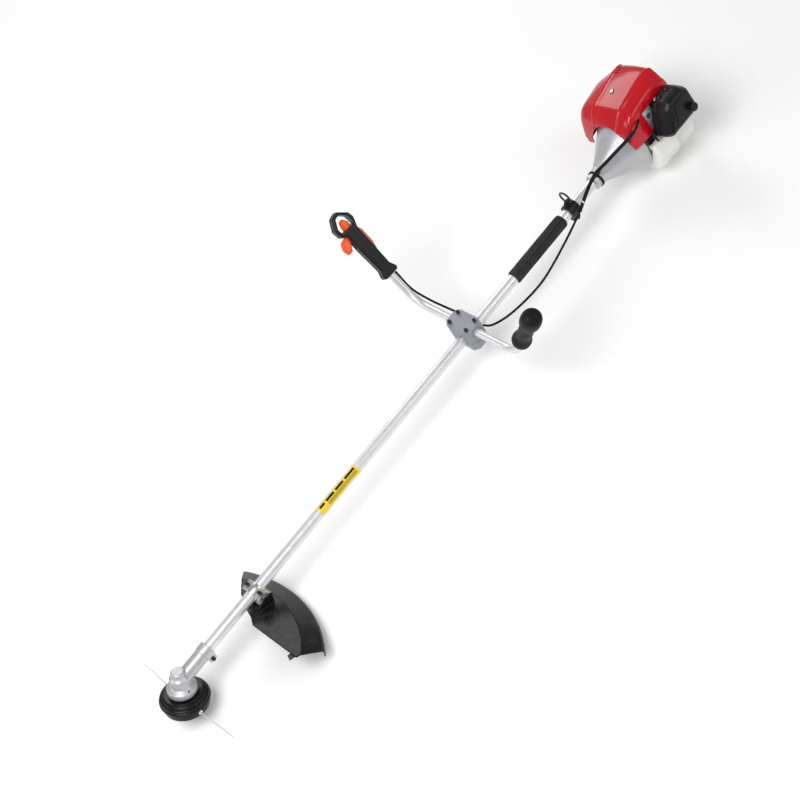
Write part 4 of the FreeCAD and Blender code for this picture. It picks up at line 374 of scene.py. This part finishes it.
def smooth_curve(points, steps):
    """Catmull-Rom curve through points of any dimension."""
    points = [Vector(p) for p in points]
    ends = [points[0] * 2 - points[1]] + points + [points[-1] * 2 - points[-2]]
    result = []
    for i in range(1, len(ends) - 2):
        p0, p1, p2, p3 = ends[i - 1:i + 3]
        for step in range(steps):
            t = step / steps
            result.append(0.5 * (p1 * 2 + (p2 - p0) * t + (p0 * 2 - p1 * 5 + p2 * 4 - p3) * t * t
                                 + (p1 * 3 - p0 - p2 * 3 + p3) * t ** 3))
    result.append(points[-1])
    return result


def rounded_outline(corners, steps=6):
    """Corners (x, y, radius) of an outline as points, each corner rounded off by a curve."""
    result = []
    count = len(corners)
    for i, (x, y, radius) in enumerate(corners):
        here = Vector((x, y))
        before = Vector(corners[i - 1][:2]) - here
        after = Vector(corners[(i + 1) % count][:2]) - here
        angle = before.angle(after)
        reach = min(radius / max(math.tan(angle / 2), 1e-6), before.length * 0.48, after.length * 0.48)
        if reach < 1e-4:
            result.append(here)
            continue
        start, end = here + before.normalized() * reach, here + after.normalized() * reach
        for step in range(steps + 1):
            t = step / steps
            result.append(start * (1 - t) ** 2 + here * 2 * t * (1 - t) + end * t * t)
    return result


def inset(points, amount):
    """Moves each point of an anticlockwise outline inward."""
    result = []
    count = len(points)
    for i, point in enumerate(points):
        tangent = (points[(i + 1) % count] - points[i - 1]).normalized()
        result.append(point + Vector((-tangent.y, tangent.x)) * amount)
    return result


def stacked(name, outline, layers, slot, matrix, **keys):
    """A solid of one outline repeated at (height, inset) layers, in millimetres."""
    vertices = []
    for height, amount in layers:
        vertices += [Vector((p.x, p.y, height)) * MM for p in inset(outline, amount)]
    return piece(name, vertices, rings_to_faces(len(layers), len(outline)), slot, matrix=matrix, **keys)


# ---------------------------------------------------------------- engine covers

# outline x rearward and y up, layers stacked to the left; then outline x right and y up, layers rearward
ACROSS_ENGINE = ENGINE @ Matrix.Rotation(math.radians(90), 4, "X")
ALONG_ENGINE = ENGINE @ Matrix(((0, 0, 1, 0), (1, 0, 0, 0), (0, 1, 0, 0), (0, 0, 0, 1)))
# the red cover, in millimetres
COVER_BASE = 20
COVER_WALL = 3
HOUSING_ARCH_RADIUS = 81.5
STARTER_OPENING_RADIUS = 49.5
SCREW_RECESS_RADIUS = 7


def half_section(side, ridge, shoulder, top):
    """Half of the red cover's section, from its lower edge to beside the crown, as (reach, height)."""
    return [
        (side, COVER_BASE), (side, COVER_BASE + 0.55 * (shoulder - COVER_BASE)), (side * 0.985, shoulder - 8),
        (side * 0.90, shoulder + 2),
        (ridge + 0.35 * (side - ridge), shoulder + 0.62 * (top - shoulder)), (ridge + 3, top - 2.5),
        (ridge, top), (ridge - 5, top - 2.2), (ridge * 0.55, top - 1)]


def hood_section(left, right, ridge, shoulder, top):
    """Points across the red cover from left to right, with its crown in the middle."""
    left_half = [(-reach, height) for reach, height in half_section(left, ridge, shoulder, top)]
    right_half = half_section(right, ridge, shoulder, top)
    return left_half + [(0, top)] + right_half[::-1]


def hood_grid():
    """Rows of points over the cover's outside, front to back, in engine millimetres."""
    # distance behind the engine's front, then left, right, ridge, shoulder and top
    stations = [(108, 82, 97, 44, 52, 66), (112, 84, 99, 45, 60, 76), (126, 87, 104, 48, 84, 95),
                (148, 89, 108, 50, 101, 114), (186, 89, 108, 50, 108, 123), (226, 89, 108, 50, 112, 131),
                (262, 87, 102, 52, 106, 133), (276, 84, 95, 53, 98, 129), (280, 81, 91, 53, 94, 125)]
    sections = [hood_section(*station[1:]) for station in stations]
    columns = []
    for index in range(len(sections[0])):
        line = [(station[0],) + section[index] for station, section in zip(stations, sections)]
        columns.append(smooth_curve(line, 6))
    rows = []
    for number in range(len(columns[0])):
        rows.append(smooth_curve([column[number] for column in columns], 4))
    return rows


def cutter(vertices, faces, matrix):
    """A solid from points in millimetres, to be taken away from a piece."""
    return add_object("cutter", outward_mesh("cutter", [Vector(v) * MM for v in vertices], faces, matrix))


def round_cutter(radius, low, high, matrix, segments=96):
    vertices = ring(radius, low, segments) + ring(radius, high, segments)
    return cutter(vertices, rings_to_faces(2, segments), matrix)


def box_cutter(low, high, matrix):
    corners = [(x, y, z) for z in (low[2], high[2]) for x, y in
               ((low[0], low[1]), (high[0], low[1]), (high[0], high[1]), (low[0], high[1]))]
    return cutter(corners, rings_to_faces(2, 4), matrix)


def carve(item, cutters):
    """Takes the cutters away from a piece and removes them."""
    for tool in cutters:
        modifier(item, "BOOLEAN", "Cut", operation="DIFFERENCE", object=tool, solver="MANIFOLD")
    bpy.context.view_layer.update()
    evaluated = item.evaluated_get(bpy.context.evaluated_depsgraph_get())
    cut = bpy.data.meshes.new_from_object(evaluated)
    item.modifiers.clear()
    item.data = cut
    for tool in cutters:
        bpy.data.objects.remove(tool)


def red_hood():
    """Glossy moulded cover, 3 mm thick, cut for the clutch housing, the intake, the starter and its screw."""
    rows = hood_grid()
    size = len(rows[0])
    vertices = [point * MM for row in rows for point in row]
    faces = []
    for i in range(len(rows) - 1):
        for j in range(size - 1):
            here = i * size + j
            faces.append((here, here + size, here + size + 1, here + 1))
    faces.append(tuple(range(size)))
    faces.append(tuple(reversed(range((len(rows) - 1) * size, len(rows) * size))))
    hood = piece("hood_red", vertices, faces, "red", matrix=ENGINE, stands_for=("top_cover",))
    modifier(hood, "SOLIDIFY", "Wall", thickness=COVER_WALL * MM, offset=-1, use_even_offset=False)
    band_slope = Matrix.Rotation(math.radians(-12.3), 4, "Y")
    screw_seat = ENGINE @ Matrix.Translation(Vector((192, 8, 124)) * MM) @ band_slope
    housing_arch = round_cutter(HOUSING_ARCH_RADIUS, 90, 149, ENGINE @ ALONG_TUBE)
    starter_opening = round_cutter(STARTER_OPENING_RADIUS, 260, 300, ENGINE @ ALONG_TUBE)
    intake_opening = box_cutter((172, -105, 28), (240, -72, 82), ENGINE)
    screw_recess = round_cutter(SCREW_RECESS_RADIUS, -6, 8, screw_seat, 40)
    vents = [box_cutter((246 + 8 * n, 30, 60), (249 + 8 * n, 47, 160), ENGINE) for n in range(3)]
    carve(hood, [housing_arch, starter_opening, intake_opening, screw_recess] + vents)
    hood.data.set_sharp_from_angle(angle=math.radians(42))


def air_cleaner():
    """Moulded case and lid with leaning front edges, a raised panel on the lid, and two clips on top."""
    side = rounded_outline([
        (164, 14, 12), (180, -3, 12), (268, -3, 14), (287, 14, 14),
        (287, 66, 16), (266, 87, 14), (214, 87, 16), (196, 72, 14)], 6)
    case_layers = [(93, 4), (93.6, 1.5), (95.5, 0), (107.5, 0), (109.2, 0.8), (109.8, 2)]
    lid_layers = [
        (110.2, 2), (110.8, 0.6), (112.5, 0), (126, 0.6), (136, 3),
        (143, 6.5), (147, 10), (149, 12.5), (149.8, 15), (150, 17)]
    panel_layers = [(148, 0), (151, 0.4), (151.8, 1), (152, 2)]
    stacked("cleaner_case", side, case_layers, "black_matte", ACROSS_ENGINE, stands_for=("air_cleaner_case",))
    stacked("cleaner_lid", side, lid_layers, "black_matte", ACROSS_ENGINE, stands_for=("air_cleaner_cover",))
    panel = rounded_outline([(206, 20, 6), (244, 20, 6), (244, 66, 6), (222, 66, 6)], 5)
    stacked("cleaner_panel", panel, panel_layers, "black_matte", ACROSS_ENGINE)
    top = 88
    for number, middle in enumerate((222, 252)):
        clip = rounded_outline([
            (middle - 6, top - 5, 1.5), (middle + 6, top - 5, 1.5),
            (middle + 6, top + 2, 2), (middle - 6, top + 2, 2)], 4)
        stacked(f"cleaner_clip_{number}", clip, [(101, 1), (102, 0), (117, 0), (118.5, 1.2)], "black_gloss",
                ACROSS_ENGINE)


def tank_shell():
    """White moulded tank with a seam round its middle, and the neck behind it."""
    outline = rounded_outline([
        (-94, -8, 9), (-94, -53, 16), (-80, -79, 16), (-54, -93, 16), (48, -93, 12),
        (62, -79, 12), (62, -50, 8), (-48, -50, 5), (-48, -8, 7)], 6)
    front_end = [(143, 9), (143.6, 6.4), (145.2, 3.6), (148, 1.4), (152, 0.3), (157, 0)]
    seam = [(206, 0), (207, -1.6), (210.5, -1.6), (211.5, 0)]
    rear_end = [(262, 0), (267, 0.3), (271, 1.4), (273.8, 3.6), (275.4, 6.4), (276, 9)]
    stacked("tank_shell", outline, front_end + seam + rear_end, "tank_white", ALONG_ENGINE,
            stands_for=("fuel_tank",))
    neck_axis = ENGINE @ Matrix.Translation(Vector((0, -10, -71.5)) * MM) @ ALONG_TUBE
    neck_profile = [(9, 268), (13, 268), (13, 276), (14, 277), (14, 279), (13, 280), (9, 280)]
    lathe("tank_neck", neck_profile, "tank_white", neck_axis, closed=True)


def fuel_hoses():
    """Two hoses that leave the tank's shoulder through rubber grommets."""
    grommet = [(2.4, -1), (5.4, -1), (5.8, 0.5), (5.2, 2.6), (4, 3.6), (2.4, 3.8)]
    for number, shift in enumerate((0, 10)):
        path = [(156 + shift, -72, -14), (157 + shift, -73, -2),
                (160 + shift, -68, 12), (166 + shift, -62, 24)]
        sweep(f"fuel_hose_{number}", [ENGINE @ (Vector(p) * MM) for p in path], lambda t: 2.6, "rubber")
        seat = ENGINE @ Matrix.Translation(Vector((156 + shift, -72, -9)) * MM)
        lathe(f"hose_grommet_{number}", grommet, "rubber", seat, closed=True, segments=32)


# ---------------------------------------------------------------- soft and slender pieces

def sweep(name, points, radius, slot, segments=20, steps=10, **keys):
    """A round cord through points in metres; its radius in millimetres depends on how far along it is."""
    path = smooth_curve(points, steps)
    tangent = (path[1] - path[0]).normalized()
    side = tangent.orthogonal().normalized()
    vertices = []
    for i, point in enumerate(path):
        tangent = (path[min(i + 1, len(path) - 1)] - path[max(i - 1, 0)]).normalized()
        side = (side - tangent * side.dot(tangent)).normalized()
        other = tangent.cross(side)
        reach = radius(i / (len(path) - 1)) * MM
        for j in range(segments):
            angle = 2 * math.pi * j / segments
            vertices.append(point + (side * math.cos(angle) + other * math.sin(angle)) * reach)
    return piece(name, vertices, rings_to_faces(len(path), segments), slot, **keys)


def ridged_sleeve():
    """Foam sleeve with lengthwise ridges, drawn in at both ends and a little uneven."""
    front, length, ridges, around = 1245.0, 195, 14, 224
    bore_radius, valley_radius, ridge_height, end_taper = 14.2, 16.0, 2.4, 5
    stops = [0, 0.6, 2, 5] + list(range(12, 184, 8)) + [190, 193, 194.4, length]
    vertices = []
    for stop in stops:
        swell = 1 - 0.16 * max(0.0, 1 - min(stop, length - stop) / end_taper) ** 2
        for j in range(around):
            angle = 2 * math.pi * j / around
            crest = abs(math.sin(ridges * angle / 2))
            wave = 0.12 * math.sin(stop * 0.11 + 3 * angle) + 0.10 * math.sin(stop * 0.37 + 5 * angle)
            reach = (valley_radius + ridge_height * crest + wave) * swell
            vertices.append(Vector((front + stop, reach * math.cos(angle), reach * math.sin(angle))) * MM)
    for stop in reversed(stops):
        for j in range(around):
            angle = 2 * math.pi * j / around
            across, up = bore_radius * math.cos(angle), bore_radius * math.sin(angle)
            vertices.append(Vector((front + stop, across, up)) * MM)
    faces = rings_to_faces(2 * len(stops), around, closed=True)
    piece("foam_sleeve", vertices, faces, "foam", stands_for=("foam_grip",))


def rubber_grip():
    """Left grip: two swollen lobes, a slim waist and fine rings round it, closed over the bar's end."""
    bar_radius, bar_end, waist_start, waist_end = 10.4, 239, 124, 196
    knots = [
        (bar_radius, 88), (19.5, 88), (22.5, 90), (23.8, 96), (23.6, 106), (21, 114), (18, 122), (17, 134),
        (17.8, 150), (18.2, 165), (17.6, 182), (17.4, 196), (19.5, 206), (23, 216), (25, 228),
        (25.2, 242), (24, 256), (19.5, 266), (11, 271), (0.5, 272)]
    curve = smooth_curve(knots, 5)
    profile = []
    for radius, height in curve:
        ripple = 0.5 * max(0.0, math.sin(height * 1.25)) if waist_start < height < waist_end else 0.0
        profile.append((radius + ripple, height))
    profile += [(0.5, bar_end), (bar_radius, bar_end)]
    lathe("grip_rubber", profile, "rubber", LEFT_ARM, closed=True, segments=56, stands_for=("left_grip",))


def cable_route():
    """Points of the cable in metres: from the throttle grip to the clutch housing, then over the engine."""
    in_grip = [(-14.5, -3, 89), (-15, -6, 30)]
    along_machine = [
        (1087, 137.5, 33), (1092, 90, 23), (1104, 46, -2), (1112, 0, -24), (1128, -38, -12), (1180, -66, -2),
        (1270, -72, -4), (1370, -58, 2), (1472, -38, 14), (1522, -24, 24)]
    over_engine = [
        (6, -28, 30), (50, -52, 44), (92, -81, 60), (122, -97, 70), (144, -96, 76), (158, -86, 76),
        (161, -75, 74)]
    to_housing = [RIGHT_ARM @ (Vector(spot) * MM) for spot in in_grip]
    to_housing += [Vector(spot) * MM for spot in along_machine]
    return to_housing, [ENGINE @ (Vector(spot) * MM) for spot in over_engine]


def throttle_line():
    """Throttle cable, its thick ribbed sleeve near the engine, a pale tie and the clip on the neck band."""
    to_housing, over_engine = cable_route()
    sweep("cable_sheath", to_housing + over_engine, lambda t: 2.9 + 0.12 * math.sin(t * 900), "rubber",
          steps=14, stands_for=("throttle_cable",))
    sweep("cable_sleeve", to_housing[-2:] + over_engine[:4], lambda t: 4.6 + 0.5 * math.sin(t * 300),
          "rubber", steps=24)
    tie_seat = Matrix.Translation(Vector((1496, -30, 18)) * MM) @ Matrix.Rotation(math.radians(82), 4, "Y")
    tie_profile = [(4, -2), (6.4, -2), (6.8, -1.4), (6.8, 1.4), (6.4, 2), (4, 2)]
    lathe("cable_tie", tie_profile, "nylon", tie_seat, closed=True, segments=40)
    clip = rounded_outline([(-9, -6, 3), (9, -6, 3), (9, 5, 4), (-9, 5, 4)], 5)
    clip_turn = Matrix.Rotation(math.radians(35), 4, "X")
    clip_seat = ENGINE @ Matrix.Translation(Vector((17, -16, 22)) * MM) @ clip_turn
    stacked("band_clip", clip, [(-6, 1.5), (-5, 0.4), (3, 0), (6, 1.5), (7, 3)], "rubber", clip_seat)


def grip_levers():
    """Orange trigger as a rounded wedge, and the stop switch as a tall rocker inside the loop."""
    shoulder = Matrix.Translation((0, 0, 243 * MM))
    plane = RIGHT_ARM @ shoulder @ Matrix.Rotation(math.radians(90), 4, "X")
    trigger = rounded_outline([
        (14, -18, 2), (31, -43, 3), (44, -42, 3), (48, -26, 6), (40, -9, 6), (21, -4, 3), (14, -4, 2)], 5)
    trigger_layers = [(-4.4, 1.4), (-3.8, 0.4), (-2.6, 0), (2.6, 0), (3.8, 0.4), (4.4, 1.4)]
    stacked("trigger_wedge", trigger, trigger_layers, "orange", plane, body="trigger",
            stands_for=("throttle_trigger",))
    rocker = rounded_outline([
        (-11, -1, 2), (8, -1, 2), (12, 13, 5), (6, 30, 6), (-5, 33, 6), (-13, 19, 6)], 5)
    rocker_layers = [(-6, 3), (-5.2, 1.4), (-3.6, 0.3), (3.6, 0.3), (5.2, 1.4), (6, 3)]
    stacked("switch_rocker", rocker, rocker_layers, "orange", plane, body="stop_switch",
            stands_for=("stop_switch",))


def starter_rope():
    """Starter cord: a short straight length beside the rear cover, riding on no body."""
    path = [ENGINE @ (Vector((250, across, -30)) * MM) for across in (30, 34, 38, 42, 46)]
    rope = sweep("starter_rope", path, lambda t: 1.65, "nylon", segments=14, steps=8, body=None)
    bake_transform(rope)


def tap_spring():
    """Coil spring behind the bump knob, riding on the head with a mesh of its own."""
    turns, points_per_turn, coil, low, high = 5, 24, 13.0, -73.0, -54.2
    path = []
    for step in range(turns * points_per_turn + 1):
        angle = 2 * math.pi * step / points_per_turn
        height = low + (high - low) * step / (turns * points_per_turn)
        path.append(SPINDLE @ (Vector((coil * math.cos(angle), coil * math.sin(angle), height)) * MM))
    spring = sweep("tap_spring", path, lambda t: 0.9, "steel", segments=10, steps=1, body="head",
                   stands_for=("spool_spring",))
    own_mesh(spring)


def film(name, start, end, low, high, reach, slot):
    """A thin curved sheet on the tube between two distances along it and two angles from +Y towards +Z."""
    around, edge, edge_drop, tube_radius = 28, 0.6, -0.12, 13.9
    angles = [math.radians(low + (high - low) * j / (around - 1)) for j in range(around)]
    stops = ((start, edge_drop), (start + edge, 0.0), (end - edge, 0.0), (end, edge_drop))
    vertices = []
    for stop, lift in stops:
        outside = reach + lift
        for angle in angles:
            vertices.append(Vector((stop, outside * math.cos(angle), outside * math.sin(angle))) * MM)
        for angle in reversed(angles):
            vertices.append(Vector((stop, tube_radius * math.cos(angle), tube_radius * math.sin(angle))) * MM)
    piece(name, vertices, rings_to_faces(len(stops), 2 * around), slot)


def tube_label():
    """Generic label wrapped round the tube: yellow film with plain dark bars, no lettering."""
    film_radius, mark_radius = 14.2, 14.35
    film("label_film", 503, 640, 78, 184, film_radius, "label_yellow")
    for number, (start, end) in enumerate(((509, 526), (532, 560), (566, 594), (600, 634))):
        film(f"label_bar_{number}", start, end, 92, 118, mark_radius, "black_matte")
    for number, low in enumerate((128, 140, 152)):
        film(f"label_line_{number}", 532, 634, low, low + 5, mark_radius, "black_matte")


# ---------------------------------------------------------------- stage

def lay_floor():
    """Pale floor just under the machine."""
    floor_mesh = bpy.data.meshes.new("floor")
    half = 14.0
    low = cad_box[0].z - 2 * MM
    floor_mesh.from_pydata([(-half, -half, low), (half, -half, low), (half, half, low), (-half, half, low)],
                           [], [(0, 1, 2, 3)])
    floor = add_object("floor", floor_mesh)
    g = Graph("floor_pale")
    drift = g.span(g.noise(0.5, 2.0), 0.3, 0.7)
    g.set(Base_Color=g.blend(drift, (0.97, 0.97, 0.97, 1), (0.99, 0.99, 0.99, 1)), Roughness=0.85,
          Normal=g.bump(g.noise(0.004, 3.0), 0.0001))
    floor.data.materials.append(g.material)


def light_stage():
    """Even white surroundings and four soft lamps."""
    world = bpy.data.worlds.new("studio")
    bpy.context.scene.world = world
    world.use_nodes = True
    background = world.node_tree.nodes["Background"]
    background.inputs["Color"].default_value = (1.0, 1.0, 1.0, 1)
    background.inputs["Strength"].default_value = 0.36

    centre = Vector((0.95, 0.0, 0.1))
    lamps = (
        ("key", (-0.6, -0.9, 3.2), 2.2, 84), ("fill", (2.6, -2.6, 2.0), 2.5, 26),
        ("back", (2.2, 2.6, 1.8), 2.0, 30), ("near", (-1.6, 1.6, 1.6), 1.4, 14))
    for name, spot, side, power in lamps:
        lamp = bpy.data.lights.new(name, "AREA")
        lamp.energy, lamp.size, lamp.shape = power, side, "DISK"
        item = add_object(name, lamp)
        item.location = spot
        item.rotation_mode = "QUATERNION"
        item.rotation_quaternion = (centre - Vector(spot)).to_track_quat("-Z", "Y")


def place_camera():
    """Camera above the head on the operator's left, rolled so that the engine is at the upper right."""
    camera_data = bpy.data.cameras.new("camera")
    camera_data.lens = 80.8
    camera_data.sensor_width = 36
    camera_data.clip_end = 60
    camera = add_object("camera", camera_data)
    right, up = Vector((0.6248, -0.6710, -0.3992)), Vector((0.7525, 0.3810, 0.5373))
    turn = Matrix((right, up, right.cross(up))).transposed().to_4x4()
    camera.matrix_world = Matrix.Translation((-0.0573, -2.6993, 3.1898)) @ turn
    bpy.context.scene.camera = camera
    bpy.context.scene.view_settings.view_transform = "Standard"


# ---------------------------------------------------------------- build

paint_nodes()
soften(("gearcase",), 0.7, 6)
soften(("clutch_housing", "crankcase"), 1.2, 5)
soften(("clamp_cap", "clamp_saddle", "clamp_base"), 0.8, 6)
soften(("throttle_shell_outer", "throttle_shell_inner"), 0.8, 14)
soften(("harness_clamp",), 0.7, 4)
soften(("guard_shell",), 1.1, 6)
chamfer(("head_housing", "head_base", "bump_knob", "guard_bracket", "clamp_screws", "fuel_cap",
         "recoil_cover", "muffler", "air_cleaner_knob"), 0.6)
red_hood()
air_cleaner()
tank_shell()
fuel_hoses()
ridged_sleeve()
rubber_grip()
throttle_line()
grip_levers()
tap_spring()
starter_rope()
tube_label()
lay_floor()
light_stage()
place_camera()
